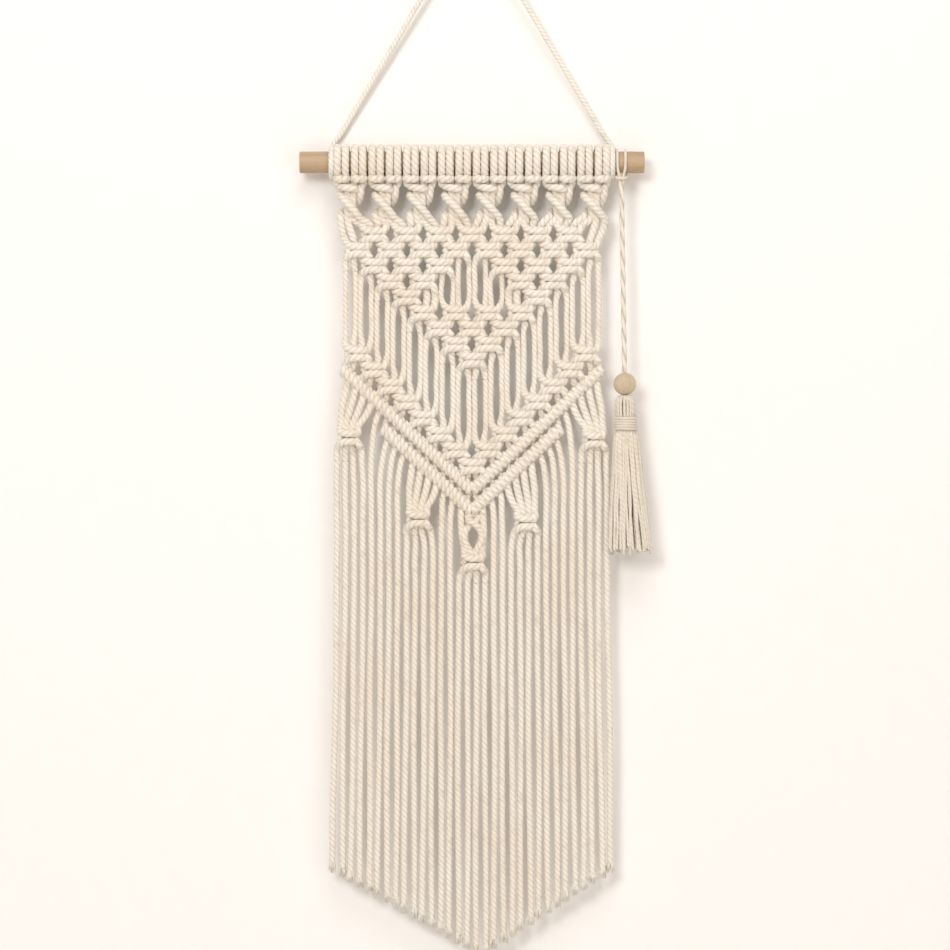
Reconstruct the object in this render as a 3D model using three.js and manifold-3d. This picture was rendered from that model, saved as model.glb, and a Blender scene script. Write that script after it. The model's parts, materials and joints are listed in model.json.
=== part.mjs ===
// Macrame wall hanging: sixteen folded cotton ropes knotted on a wooden dowel, hung from one cord,
// with a beaded tassel at the right. Millimetres, +Z up, the front faces -Y.
// The origin is the point where the hanging cord rests on its hook.
import * as THREE from 'three';
import { mergeVertices } from 'three/addons/utils/BufferGeometryUtils.js';
import Module from 'manifold-3d';

const wasm = await Module();
wasm.setup();

// Ropes and clearances
const ROPE = 6;                    // diameter of the cotton rope
const HANGER = 5;                  // diameter of the hanging cord
const STRING = 5;                  // width of the doubled string of the tassel
const STRING_PLY = 2.6;            // diameter of one strand of that string
const CLEARANCE = 0.3;             // gap between pieces that touch
const WRAP_CLEARANCE = 0.9;        // gap between the hanging cord's turn and the dowel
const PLANE_Y = -4;                // middle plane of the knotted panel

// Dowel and hanging cord
const DOWEL = 19.05;               // diameter
const DOWEL_END = 31;              // bare end beyond the outermost rope
const DOWEL_CHAMFER = 0.8;
const DOWEL_SIDES = 24;
const DROP = 208;                  // from the hook to the axis of the dowel
const APEX_RADIUS = 11;            // bend of the hanging cord over the hook
const HANGER_STEPS = 150;

// Lark's heads and spiral cords
const ROPES = 16;
const ROPE_GAP = 3.37;             // gap between neighbouring lark's heads
const RING_SIDES = 12;
const BAR_HEIGHT = 7;              // bar of a lark's head
const BAR_FORWARD = 0.475;         // how far the bar's middle lies in front of the dowel
const SPIRAL_DROP = 9.475;         // from the underside of the dowel to the top of the spirals
const SPIRAL_LENGTH = 34;

// Knotted net and chevron of square knots
const STRANDS = 2 * ROPES;
const STRAND_GAP = 1.2;            // gap between free strands of the panel
const ROW = 2.308 * ROPE;          // from one row of knots to the next
const ROWS = [
  [2, 6, 10, 14, 18, 22, 26],
  [0, 4, 8, 12, 16, 20, 24, 28],
  [2, 6, 10, 18, 22, 26],
  [4, 8, 20, 24],
  [6, 22],
  [8, 12, 16, 20],
  [10, 14, 18],
  [12, 16],
  [14],
];                                 // first strand of each knot, row by row
const NET_FALL = 11.5;             // from the spirals' ends to the first row of knots
const KNOT_DEPTH = 2 * ROPE;
const KNOT_OVERLAP = 0.35;         // knots of neighbouring rows grow into each other
const CHEVRON_STEP = 2.358 * ROPE; // fall from one chevron knot to the next
const CHEVRON_FALL = 93.7;         // from the point of the net to the point of the chevron

// Diagonal bars of double half hitches
const BAR = 12;                    // thickness of a bar
const BAR_SLOPE = 0.93;            // rise over run
const BAR_FALL = 20.8;             // from the chevron's point to the upper bars' meeting point
const BAR_SPACING = 18.7;          // between upper and lower bars, measured upright
const LOWER_BAR_START = 11.05;     // strands between the middle and the outer end of a lower bar

// Fringe
const FRINGE_GAP = 1.93;           // gap between strands at the cut end
const HINGE_GAP = 1.71;            // gap between strands where the fringe bends
const HINGE_FALL = 82;             // from the upper bars' meeting point to the line where the fringe bends
const FRINGE_LIMIT = 60;           // degrees that the fringe bends forward
const FRINGE_SIDE = 246;           // length of the fringe below that line, at its sides
const FRINGE_POINT = 323;          // the same at its point
const FRINGE_POINT_X = 8.8;
const FRINGE_STEPS = 6;
const SWAY = 0.7;                  // sideways wander of a strand
const STAGGER = 1.1;               // neighbouring strands lie before and behind each other

// Decorative square knots: first strand, how far the knot lies to the right of its four strands, how far
// below their bar, and whether that is an upper bar
const DECORATIVE = [
  { first: 0, shift: -7.9, drop: 47.74, upper: true },
  { first: 8, shift: -4.5, drop: 47.48, upper: false },
  { first: 14, shift: 1, drop: 45.3, upper: false },
  { first: 20, shift: 4.5, drop: 50.48, upper: false },
  { first: 28, shift: 7.2, drop: 49.74, upper: true },
];
const GATHER = 4.4;                // pitch of the four strands inside a decorative knot
const TEARDROP = 8;                // half width of the opening above the middle knot

// Tassel
const LOOP_HALF = 3.6;             // half the distance between the loop's two turns
const LOOP_Y = -9.5;
const LOOP_BOTTOM = -18;
const TASSEL_LIMIT = 45;           // degrees that the tassel swings aside
const TASSEL_TILT = 0.955;         // degrees that the string leans to the right
const STRING_LENGTH = 187;
const BEAD = 20;
const BEAD_CLEARANCE = 0.6;
const HEAD_RADIUS = 9.3;
const HEAD_HEIGHT = 18;
const NECK_RADIUS = 8.2;
const WHIPPING = 14;               // height of the whipping
const WHIPPING_RADIUS = 10.9;
const SKIRT = 107;                 // length of the skirt below the whipping
const SKIRT_HALF_WIDTH = 20.2;
const SKIRT_HALF_DEPTH = 9;
const SKIRT_SHIFT = [2.6, -3.5];   // how far the skirt's end lies to the right and to the front

// Worked-out sizes
const DOWEL_RADIUS = DOWEL / 2;
const ROPE_RADIUS = ROPE / 2;
const LARK_PITCH = 2 * ROPE + ROPE_GAP;
const LARK_EDGE = (ROPES - 1) / 2 * LARK_PITCH + ROPE + 0.2;
const DOWEL_LENGTH = 2 * (LARK_EDGE + DOWEL_END);
const PITCH = ROPE + STRAND_GAP;
const KNOT_HALF_WIDTH = 1.53 * PITCH;
const KNOT_HALF_HEIGHT = (ROW + KNOT_OVERLAP) / 2;
const SMALL_HALF_WIDTH = 1.32 * PITCH;
const SMALL_HALF_HEIGHT = 1.07 * ROPE;
const NET_CORNER = 0.4 * ROPE;
const SMALL_CORNER = 0.64 * ROPE;
const SPIRAL_TOP = -(DOWEL_RADIUS + SPIRAL_DROP);    // heights are counted from the dowel's axis
const SPIRAL_BOTTOM = SPIRAL_TOP - SPIRAL_LENGTH;
const NET_TOP = SPIRAL_BOTTOM - NET_FALL;
const NET_POINT = NET_TOP - (ROWS.length - 1) * ROW;
const CHEVRON_POINT = NET_POINT - CHEVRON_FALL;
const UPPER_POINT = CHEVRON_POINT - BAR_FALL;
const LOWER_POINT = UPPER_POINT - BAR_SPACING;
const HINGE_Z = UPPER_POINT - HINGE_FALL;
const WRAP_X = LARK_EDGE + CLEARANCE + HANGER / 2;
const LOOP_X = WRAP_X + HANGER / 2 + CLEARANCE + STRING_PLY / 2 + LOOP_HALF;

const middle = (STRANDS - 1) / 2;
const strandX = (strand) => (strand - middle) * PITCH;
const hingeX = (strand) => (strand - middle) * (ROPE + HINGE_GAP);
const groupX = (first) => strandX(first + 1.5);
const spiralX = (index) => (index - (ROPES / 2 - 1) / 2) * 2 * LARK_PITCH;
const knotZ = (row) => NET_TOP - row * ROW;
const chevronZ = (first) => CHEVRON_POINT + Math.abs(first - 14) / 2 * CHEVRON_STEP;
const barZ = (x, point) => point + BAR_SLOPE * Math.abs(x);
const bendGap = (radius, degrees) =>
  radius * Math.tan(THREE.MathUtils.degToRad(degrees) / 2) + CLEARANCE / 2;
const BEND_GAP = bendGap(ROPE_RADIUS, FRINGE_LIMIT);
const TASSEL_GAP = bendGap(STRING / 2, TASSEL_LIMIT);

// Materials
const fibre = (color) => new THREE.MeshStandardMaterial({ color, roughness: 0.95, metalness: 0 });
const timber = (color) => new THREE.MeshStandardMaterial({ color, roughness: 0.6, metalness: 0 });

// ---------------------------------------------------------------- geometry helpers

// A closed, indexed geometry with shared vertices and faces that point out.
function closed(geometry) {
  const bare = geometry.index ? geometry.clone() : geometry;
  bare.deleteAttribute('normal');
  bare.deleteAttribute('uv');
  const merged = mergeVertices(bare, 1e-4);
  const { index, attributes: { position } } = merged;
  const corners = [new THREE.Vector3(), new THREE.Vector3(), new THREE.Vector3()];
  const triangles = [];
  let volume = 0;
  for (let i = 0; i < index.count; i += 3) {
    const [a, b, c] = [index.getX(i), index.getX(i + 1), index.getX(i + 2)];
    if (a === b || b === c || a === c) continue;
    [a, b, c].forEach((vertex, corner) => corners[corner].fromBufferAttribute(position, vertex));
    volume += corners[0].dot(corners[1].clone().cross(corners[2]));
    triangles.push([a, b, c]);
  }
  merged.setIndex((volume < 0 ? triangles.map(([a, b, c]) => [a, c, b]) : triangles).flat());
  merged.computeVertexNormals();
  return merged;
}

function toSolid(geometry) {
  const tidy = closed(geometry);
  return new wasm.Manifold(new wasm.Mesh({
    numProp: 3,
    vertProperties: new Float32Array(tidy.attributes.position.array),
    triVerts: new Uint32Array(tidy.index.array),
  }));
}

function toGeometry(solid) {
  const { vertProperties, triVerts } = solid.getMesh();
  const geometry = new THREE.BufferGeometry();
  geometry.setAttribute('position', new THREE.BufferAttribute(new Float32Array(vertProperties), 3));
  geometry.setIndex(new THREE.BufferAttribute(new Uint32Array(triVerts), 1));
  geometry.computeVertexNormals();
  return geometry;
}

const join = (geometries) => geometries.map(toSolid).reduce((sum, next) => sum.add(next));
const cut = (solid, geometries) => geometries.reduce((rest, next) => rest.subtract(toSolid(next)), solid);

function block(width, depth, height, x, y, z) {
  return new THREE.BoxGeometry(width, depth, height).translate(x, y, z);
}

// A round section with the given number of sides, carried along a curve.
function tube(curve, diameter, sides, steps) {
  const outline = Array.from({ length: sides }, (_, i) => {
    const angle = 2 * Math.PI * (i + 0.5) / sides;
    return new THREE.Vector2(Math.cos(angle), Math.sin(angle)).multiplyScalar(diameter / 2);
  });
  const options = { extrudePath: curve, steps, bevelEnabled: false };
  return new THREE.ExtrudeGeometry(new THREE.Shape(outline), options);
}

const range = (first, last, step = 1) =>
  Array.from({ length: Math.floor((last - first) / step) + 1 }, (_, i) => first + i * step);
const point = (x, z, y = PLANE_Y) => new THREE.Vector3(x, y, z);
const rod = (from, to, diameter = ROPE, sides = 6) =>
  tube(new THREE.LineCurve3(from, to), diameter, sides, 1);

const upright = (x, top, bottom) => rod(point(x, top), point(x, bottom));

// A knot as a block with an eight-sided outline, seen from the front.
function knot(x, z, halfWidth, halfHeight, corner) {
  const outline = [
    [halfWidth, corner - halfHeight], [halfWidth, halfHeight - corner],
    [halfWidth - corner, halfHeight], [corner - halfWidth, halfHeight],
    [-halfWidth, halfHeight - corner], [-halfWidth, corner - halfHeight],
    [corner - halfWidth, -halfHeight], [halfWidth - corner, -halfHeight],
  ].map(([u, v]) => new THREE.Vector2(u, v));
  return new THREE.ExtrudeGeometry(new THREE.Shape(outline), { depth: KNOT_DEPTH, bevelEnabled: false })
    .rotateX(Math.PI / 2).translate(x, PLANE_Y + KNOT_DEPTH / 2, z);
}

// A ring on the dowel: a tapering flat section turned round the X axis.
function ring(x, width, thickness) {
  const inner = (DOWEL_RADIUS + CLEARANCE) / Math.cos(Math.PI / RING_SIDES);
  const outer = inner + thickness;
  const half = width / 2;
  const shoulder = half - thickness / 4;
  const profile = [[inner, -half], [outer, -shoulder], [outer, shoulder], [inner, half], [inner, -half]];
  return new THREE.LatheGeometry(profile.map(([r, u]) => new THREE.Vector2(r, u)), RING_SIDES)
    .rotateZ(Math.PI / 2).translate(x, 0, 0);
}

// A diagonal from its outer end to a little past the middle; sign is -1 on the left.
function diagonal(level, sign, diameter, outerX) {
  const at = (x) => point(sign * x, level + BAR_SLOPE * x);
  return rod(at(outerX), at(-BAR), diameter, 8);
}

const bothDiagonals = (level) =>
  join([-1, 1].map((sign) => diagonal(level, sign, BAR + 2 * CLEARANCE, DOWEL_LENGTH)));

// ---------------------------------------------------------------- pieces

function dowel() {
  const half = DOWEL_LENGTH / 2;
  const profile = [
    [0, -half], [DOWEL_RADIUS - DOWEL_CHAMFER, -half], [DOWEL_RADIUS, DOWEL_CHAMFER - half],
    [DOWEL_RADIUS, half - DOWEL_CHAMFER], [DOWEL_RADIUS - DOWEL_CHAMFER, half], [0, half],
  ].map(([r, u]) => new THREE.Vector2(r, u));
  return closed(new THREE.LatheGeometry(profile, DOWEL_SIDES).rotateZ(Math.PI / 2));
}

// The cord comes down behind the dowel, passes under it, up its front and over its top, at both ends.
function hangingCord() {
  const turn = DOWEL_RADIUS + WRAP_CLEARANCE + HANGER / 2;
  const wrap = [-300, -270, -240, -210, -180, -150, -120, -90, -60, -30, 0].map((degrees) => {
    const angle = THREE.MathUtils.degToRad(degrees);
    return [WRAP_X, turn * Math.cos(angle), turn * Math.sin(angle)];
  });
  const clear = DOWEL_RADIUS + CLEARANCE + ROPE + CLEARANCE + HANGER / 2;
  const foot = [WRAP_X, 0.76 * clear, 0.68 * clear];
  const lean = Math.atan2(foot[0], DROP - foot[2]);
  const top = DROP + HANGER / 2 - APEX_RADIUS;
  const shoulder = [APEX_RADIUS * Math.cos(lean), 0, top + APEX_RADIUS * Math.sin(lean)];
  const along = (t) => foot.map((value, axis) => value + (shoulder[axis] - value) * t);
  const half = [...wrap, [WRAP_X, turn + 0.4, 0.35 * foot[2]], foot, along(0.08), along(0.3), along(0.6),
    along(0.9), shoulder, [0.5 * APEX_RADIUS * Math.cos(lean), 0, top + 0.9 * APEX_RADIUS]];
  const right = half.map((place) => new THREE.Vector3(...place));
  const left = half.map(([x, y, z]) => new THREE.Vector3(-x, y, z));
  const apex = new THREE.Vector3(0, 0, top + APEX_RADIUS);
  return tube(new THREE.CatmullRomCurve3([...left, apex, ...right.reverse()]), HANGER, 8, HANGER_STEPS);
}

// Two lark's heads and the spiral of half knots that their four strands make.
function spiralCord(index) {
  const x = spiralX(index);
  const heads = [-0.5, 0.5].flatMap((side) => {
    const centre = x + side * LARK_PITCH;
    return [
      ring(centre, 2 * ROPE + 0.4, ROPE),
      block(LARK_PITCH - CLEARANCE, BAR_HEIGHT, BAR_HEIGHT, centre, -(DOWEL_RADIUS + BAR_FORWARD),
        SPIRAL_TOP + BAR_HEIGHT / 2 - 1),
    ];
  });
  const profile = [
    [0, SPIRAL_TOP + 2], [2.1 * ROPE, SPIRAL_TOP + 2], [2.1 * ROPE, SPIRAL_TOP - 5],
    [1.35 * ROPE, SPIRAL_TOP - 18], [0.95 * ROPE, SPIRAL_BOTTOM], [0, SPIRAL_BOTTOM],
  ].map(([r, z]) => new THREE.Vector2(r, z));
  const column = new THREE.LatheGeometry(profile, 8).rotateX(Math.PI / 2)
    .scale(1, 0.62, 1).translate(x, PLANE_Y - 2, 0);
  return toGeometry(join([...heads, column]));
}

// The net: nine rows of square knots in a V, with an open diamond that free strands cross.
function knotNet() {
  const pieces = [];
  ROWS.forEach((row, index) => row.forEach((first) =>
    pieces.push(knot(groupX(first), knotZ(index), KNOT_HALF_WIDTH, KNOT_HALF_HEIGHT, NET_CORNER))));
  for (let strand = 0; strand < STRANDS; strand += 1) {
    const rows = ROWS.flatMap((row, index) =>
      (row.some((first) => first <= strand && strand <= first + 3) ? [index] : []));
    const spiral = Math.floor(strand / 4);
    const start = spiralX(spiral) + (strand % 4 - 1.5) * ROPE * 0.45;
    const entry = knotZ(rows[0]) + KNOT_HALF_HEIGHT - 1;
    pieces.push(rod(point(start, SPIRAL_BOTTOM + 1), point(strandX(strand), entry)));
    rows.slice(1).forEach((row, index) => {
      if (row - rows[index] > 2) {
        pieces.push(upright(strandX(strand), knotZ(rows[index]) - KNOT_HALF_HEIGHT + 1,
          knotZ(row) + KNOT_HALF_HEIGHT - 1));
      }
    });
  }
  const lid = block(2 * DOWEL_LENGTH, 20 * ROPE, 4 * ROPE, 0, 0, SPIRAL_BOTTOM - CLEARANCE + 2 * ROPE);
  return toGeometry(cut(join(pieces), [lid]));
}

// Where a strand leaves the lowest knot of the net that it passes through.
function netBottom(strand) {
  const row = ROWS.findLastIndex((firsts) => firsts.some((first) => first <= strand && strand <= first + 3));
  return knotZ(row) - KNOT_HALF_HEIGHT;
}

// Chevron knots, and the strands that fall into them and on to the upper bars.
// Each fall is a strand with the heights of its top and bottom.
function chevron(firsts, falls) {
  const knots = firsts.map((first) =>
    knot(groupX(first), chevronZ(first), SMALL_HALF_WIDTH, SMALL_HALF_HEIGHT, SMALL_CORNER));
  const strands = falls.map(([strand, top, bottom]) => upright(strandX(strand), top - CLEARANCE, bottom));
  return toGeometry(join([...knots, ...strands]).subtract(bothDiagonals(UPPER_POINT)));
}

// One diagonal bar, cut where it meets its twin, with any strands that leave it plainly.
function hitchBar(level, sign, outerX, strands) {
  const pieces = [diagonal(level, sign, BAR, outerX)];
  strands.forEach((strand) => {
    const x = sign * Math.min(Math.abs(strandX(strand)), outerX);
    pieces.push(rod(point(x, barZ(x, level)), point(hingeX(strand), HINGE_Z + BEND_GAP)));
  });
  const size = 4 * BAR;
  const other = block(size, size, 20 * BAR, -sign * (size / 2 - CLEARANCE / 2), 0, level);
  return toGeometry(cut(join(pieces), [other]));
}

// A decorative square knot of four strands, from a bar down to the line where the fringe bends.
function decorativeKnot({ first, shift, drop, upper }) {
  const level = upper ? UPPER_POINT : LOWER_POINT;
  const x = groupX(first) + shift;
  const z = barZ(groupX(first), level) - drop;
  const middleKnot = first === 14;
  const pieces = [knot(x, z, KNOT_HALF_WIDTH, KNOT_HALF_HEIGHT, SMALL_CORNER)];
  if (middleKnot) {
    pieces.push(knot(x, LOWER_POINT - BAR, 1.1 * ROPE, 0.8 * ROPE, ROPE / 3));
  }
  range(0, 3).forEach((index) => {
    const strand = first + index;
    const inside = x + (index - 1.5) * GATHER;
    if (middleKnot) {
      const side = Math.sign(index - 1.5);
      const waist = point(x + side * TEARDROP, (z + LOWER_POINT - BAR) / 2 - 1);
      pieces.push(rod(point(x + side * 2, LOWER_POINT - BAR), waist));
      pieces.push(rod(waist, point(x + side * 4, z)));
    } else {
      const start = strandX(strand);
      pieces.push(rod(point(start, barZ(start, level)), point(inside, z)));
    }
    pieces.push(rod(point(inside, z), point(hingeX(strand), HINGE_Z + BEND_GAP)));
  });
  return toGeometry(join(pieces).subtract(bothDiagonals(level)));
}

// A strand of the fringe: nearly straight, with a slow sideways wander that starts at the bend.
function fringeCord(strand) {
  const top = HINGE_Z - BEND_GAP;
  const endX = (strand - middle) * (ROPE + FRINGE_GAP);
  const side = endX < FRINGE_POINT_X ? -1 : 1;
  const run = (middle + 0.5) * (ROPE + FRINGE_GAP) - side * FRINGE_POINT_X;
  const share = Math.abs(endX - FRINGE_POINT_X) / run;
  const bottom = HINGE_Z - THREE.MathUtils.lerp(FRINGE_POINT, FRINGE_SIDE, share);
  const places = range(0, FRINGE_STEPS).map((step) => {
    const t = step / FRINGE_STEPS;
    const grow = THREE.MathUtils.smoothstep(t, 0, 0.35);
    const wander = SWAY * grow * Math.sin(5.3 * t + 2.4 * strand);
    const stagger = STAGGER * grow * (strand % 2 ? 1 : -1);
    return point(THREE.MathUtils.lerp(hingeX(strand), endX, t) + wander, THREE.MathUtils.lerp(top, bottom, t),
      PLANE_Y + stagger);
  });
  return tube(new THREE.CatmullRomCurve3(places), ROPE, 8, FRINGE_STEPS);
}

function tasselLoop() {
  const turns = [-1, 1].map((side) => ring(LOOP_X + side * LOOP_HALF, STRING_PLY, STRING_PLY));
  const height = 8.5;
  const knotted = block(2 * LOOP_HALF + STRING_PLY, 6, height, LOOP_X, LOOP_Y, LOOP_BOTTOM + height / 2);
  return toGeometry(join([...turns, knotted]));
}

// The pieces of the tassel are turned round its own axis, with the swing's pivot at the origin.
const turned = (profile, sides) =>
  new THREE.LatheGeometry(profile.map(([r, z]) => new THREE.Vector2(r, z)), sides).rotateX(Math.PI / 2);

function tasselBead() {
  const radius = BEAD / 2;
  const sides = 16;
  const bore = (STRING / 2 + BEAD_CLEARANCE) / Math.cos(Math.PI / sides);
  const mouth = Math.asin(bore / radius);
  const profile = range(0, 10).map((step) => {
    const angle = mouth + (Math.PI - 2 * mouth) * step / 10;
    return [radius * Math.sin(angle), -radius * Math.cos(angle)];
  });
  profile.push(profile[0]);
  const rise = radius * Math.cos(mouth);
  return closed(turned(profile, sides)).translate(0, 0, CLEARANCE + rise - STRING_LENGTH);
}

// The folded bundle: a rounded head, a neck inside the whipping, and a flattened skirt.
function tasselBundle() {
  const neck = HEAD_HEIGHT + WHIPPING;
  const profile = [
    [0, 0], [0.65 * HEAD_RADIUS, 0], [0.92 * HEAD_RADIUS, -4], [HEAD_RADIUS, -HEAD_HEIGHT + 1],
    [NECK_RADIUS, -HEAD_HEIGHT], [NECK_RADIUS, -neck], [1.3 * NECK_RADIUS, -neck - 1],
    [1.65 * NECK_RADIUS, -neck - SKIRT / 2], [SKIRT_HALF_WIDTH, -neck - SKIRT], [0, -neck - SKIRT],
  ];
  const geometry = turned(profile, 16);
  const { position } = geometry.attributes;
  const flat = SKIRT_HALF_DEPTH / SKIRT_HALF_WIDTH;
  for (let i = 0; i < position.count; i += 1) {
    const t = Math.max(0, (-position.getZ(i) - neck) / SKIRT);
    position.setX(i, position.getX(i) + SKIRT_SHIFT[0] * t);
    position.setY(i, position.getY(i) * THREE.MathUtils.lerp(1, flat, t) + SKIRT_SHIFT[1] * t);
  }
  return closed(geometry).translate(0, 0, -STRING_LENGTH);
}

function tasselWhipping() {
  const sides = 16;
  const inner = (NECK_RADIUS + CLEARANCE) / Math.cos(Math.PI / sides);
  const top = -HEAD_HEIGHT - CLEARANCE;
  const bottom = -HEAD_HEIGHT - WHIPPING + CLEARANCE;
  const profile = [
    [inner, bottom], [WHIPPING_RADIUS - 1, bottom], [WHIPPING_RADIUS, bottom + 2],
    [WHIPPING_RADIUS, top - 2], [WHIPPING_RADIUS - 1, top], [inner, top], [inner, bottom],
  ];
  return closed(turned(profile, sides)).translate(0, 0, -STRING_LENGTH);
}

// ---------------------------------------------------------------- assembly

const group = new THREE.Group();
const hanging = new THREE.Group();
hanging.position.z = -DROP;
group.add(hanging);

const tassel = new THREE.Group();
tassel.position.set(LOOP_X, LOOP_Y, LOOP_BOTTOM - TASSEL_GAP);
tassel.rotation.y = -THREE.MathUtils.degToRad(TASSEL_TILT);
hanging.add(tassel);

function place(parent, name, geometry, material) {
  const mesh = new THREE.Mesh(geometry, material);
  mesh.name = name;
  parent.add(mesh);
}

place(hanging, 'dowel', dowel(), timber(0xd9b27c));
place(hanging, 'hanging_cord', closed(hangingCord()), fibre(0xe9e4d8));
range(1, ROPES / 2).forEach((number) =>
  place(hanging, `spiral_cord_${number}`, spiralCord(number - 1), fibre(0xe8e0d0)));
place(hanging, 'knot_net', knotNet(), fibre(0xe6dccb));

// The outer strands fall on to the bars; the middle four stop in the last knots beside the point,
// and short ends carry them on through the knot at the point.
const toBar = (strand) => [strand, netBottom(strand), barZ(strandX(strand), UPPER_POINT)];
const toKnot = (strand) => [strand, netBottom(strand), chevronZ(12)];
const pastKnot = (strand) => [strand, chevronZ(12) - SMALL_HALF_HEIGHT, barZ(strandX(strand), UPPER_POINT)];
place(hanging, 'chevron_left',
  chevron(range(0, 12, 2), [...range(0, 13).map(toBar), ...[14, 15].map(toKnot)]), fibre(0xe6dccb));
place(hanging, 'chevron_point', chevron([14], range(14, 17).map(pastKnot)), fibre(0xe6dccb));
place(hanging, 'chevron_right',
  chevron(range(16, 28, 2), [...range(18, 31).map(toBar), ...[16, 17].map(toKnot)]), fibre(0xe6dccb));

const lowerOuter = LOWER_BAR_START * PITCH;
const upperOuter = (middle + 0.45) * PITCH;
place(hanging, 'hitch_bar_upper_left', hitchBar(UPPER_POINT, -1, upperOuter, []), fibre(0xe4d8c4));
place(hanging, 'hitch_bar_upper_right', hitchBar(UPPER_POINT, 1, upperOuter, []), fibre(0xe4d8c4));
place(hanging, 'hitch_bar_lower_left',
  hitchBar(LOWER_POINT, -1, lowerOuter, [4, 5, 6, 7, 12, 13]), fibre(0xe4d8c4));
place(hanging, 'hitch_bar_lower_right',
  hitchBar(LOWER_POINT, 1, lowerOuter, [18, 19, 24, 25, 26, 27]), fibre(0xe4d8c4));
DECORATIVE.forEach((spec, index) =>
  place(hanging, `decorative_knot_${index + 1}`, decorativeKnot(spec), fibre(0xe6dccb)));
range(0, STRANDS - 1).forEach((strand) => {
  const number = String(strand + 1).padStart(2, '0');
  place(hanging, `fringe_cord_${number}`, closed(fringeCord(strand)), fibre(0xe2d6c2));
});

place(hanging, 'tassel_loop', tasselLoop(), fibre(0xe9e4d8));
const stringTop = new THREE.Vector3(0, 0, -TASSEL_GAP);
const stringEnd = new THREE.Vector3(0, 0, CLEARANCE - STRING_LENGTH);
place(tassel, 'tassel_string', closed(rod(stringTop, stringEnd, STRING, 8)), fibre(0xe9e4d8));
place(tassel, 'tassel_bead', tasselBead(), timber(0xdab482));
place(tassel, 'tassel_bundle', tasselBundle(), fibre(0xe6dccb));
place(tassel, 'tassel_whipping', tasselWhipping(), fibre(0xe6dccb));

export default group;
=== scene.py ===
"""Macrame wall hanging: sixteen folded cotton ropes knotted on a wooden dowel, with a beaded tassel.

The file is laid out as a Blender add-on and is run as a script. Recipes are in millimetres with the
dowel's axis as their origin; hung() turns them into metres in the frame of the CAD model.
"""

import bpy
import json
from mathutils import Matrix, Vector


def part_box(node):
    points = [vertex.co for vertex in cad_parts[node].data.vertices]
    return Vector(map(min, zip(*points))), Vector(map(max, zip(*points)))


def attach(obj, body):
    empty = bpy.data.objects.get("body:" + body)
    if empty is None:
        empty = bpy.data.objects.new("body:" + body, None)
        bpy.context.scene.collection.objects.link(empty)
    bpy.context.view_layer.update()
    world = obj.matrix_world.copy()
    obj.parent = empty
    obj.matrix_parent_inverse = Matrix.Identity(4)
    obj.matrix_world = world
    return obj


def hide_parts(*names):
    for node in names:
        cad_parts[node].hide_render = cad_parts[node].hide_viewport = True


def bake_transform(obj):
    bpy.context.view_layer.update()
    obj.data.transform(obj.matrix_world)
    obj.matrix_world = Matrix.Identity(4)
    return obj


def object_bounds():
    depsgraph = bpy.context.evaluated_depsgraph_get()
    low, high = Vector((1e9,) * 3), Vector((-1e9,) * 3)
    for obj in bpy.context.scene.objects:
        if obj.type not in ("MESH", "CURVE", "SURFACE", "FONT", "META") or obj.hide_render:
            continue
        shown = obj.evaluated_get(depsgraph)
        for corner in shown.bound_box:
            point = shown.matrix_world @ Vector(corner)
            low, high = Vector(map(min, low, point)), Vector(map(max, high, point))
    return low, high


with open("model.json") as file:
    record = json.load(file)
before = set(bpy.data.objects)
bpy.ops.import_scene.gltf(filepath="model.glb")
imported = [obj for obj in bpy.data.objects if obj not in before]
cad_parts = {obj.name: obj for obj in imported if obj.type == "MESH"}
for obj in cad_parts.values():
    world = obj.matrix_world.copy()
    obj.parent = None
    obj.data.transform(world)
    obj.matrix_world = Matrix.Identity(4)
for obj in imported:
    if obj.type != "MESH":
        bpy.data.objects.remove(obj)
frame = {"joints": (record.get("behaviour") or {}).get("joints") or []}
CAD_BOX = [list(corner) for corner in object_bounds()]

import json
import math

import bpy
import numpy as np
from bpy.props import FloatProperty, FloatVectorProperty, IntProperty, PointerProperty
from bpy.types import Operator, Panel, PropertyGroup
from mathutils import Vector

bl_info = {
    "name": "Macrame wall hanging",
    "version": (1, 0, 0),
    "blender": (4, 5, 0),
    "location": "View3D > Sidebar > Hanging",
    "description": "Builds a knotted cotton wall hanging on a dowel, with its fringe, tassel and stage",
    "category": "Object",
}

MM = 0.001
DOWEL_LOW, DOWEL_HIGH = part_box("dowel")
DOWEL_AXIS_Z = (DOWEL_LOW.z + DOWEL_HIGH.z) / 2
DOWEL_RADIUS = (DOWEL_HIGH.z - DOWEL_LOW.z) / 2 / MM
DOWEL_HALF_LENGTH = (DOWEL_HIGH.x - DOWEL_LOW.x) / 2 / MM
HINGES = {joint["name"]: joint for joint in frame["joints"]}
FRINGE_BEND = Vector(HINGES["fringe_swing"]["pos_m"])
TASSEL_PIVOT = Vector(HINGES["tassel_swing"]["pos_m"])

# ------------------------------------------------------------------ layout of the knots

ROPES = 16
STRANDS = 2 * ROPES
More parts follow.
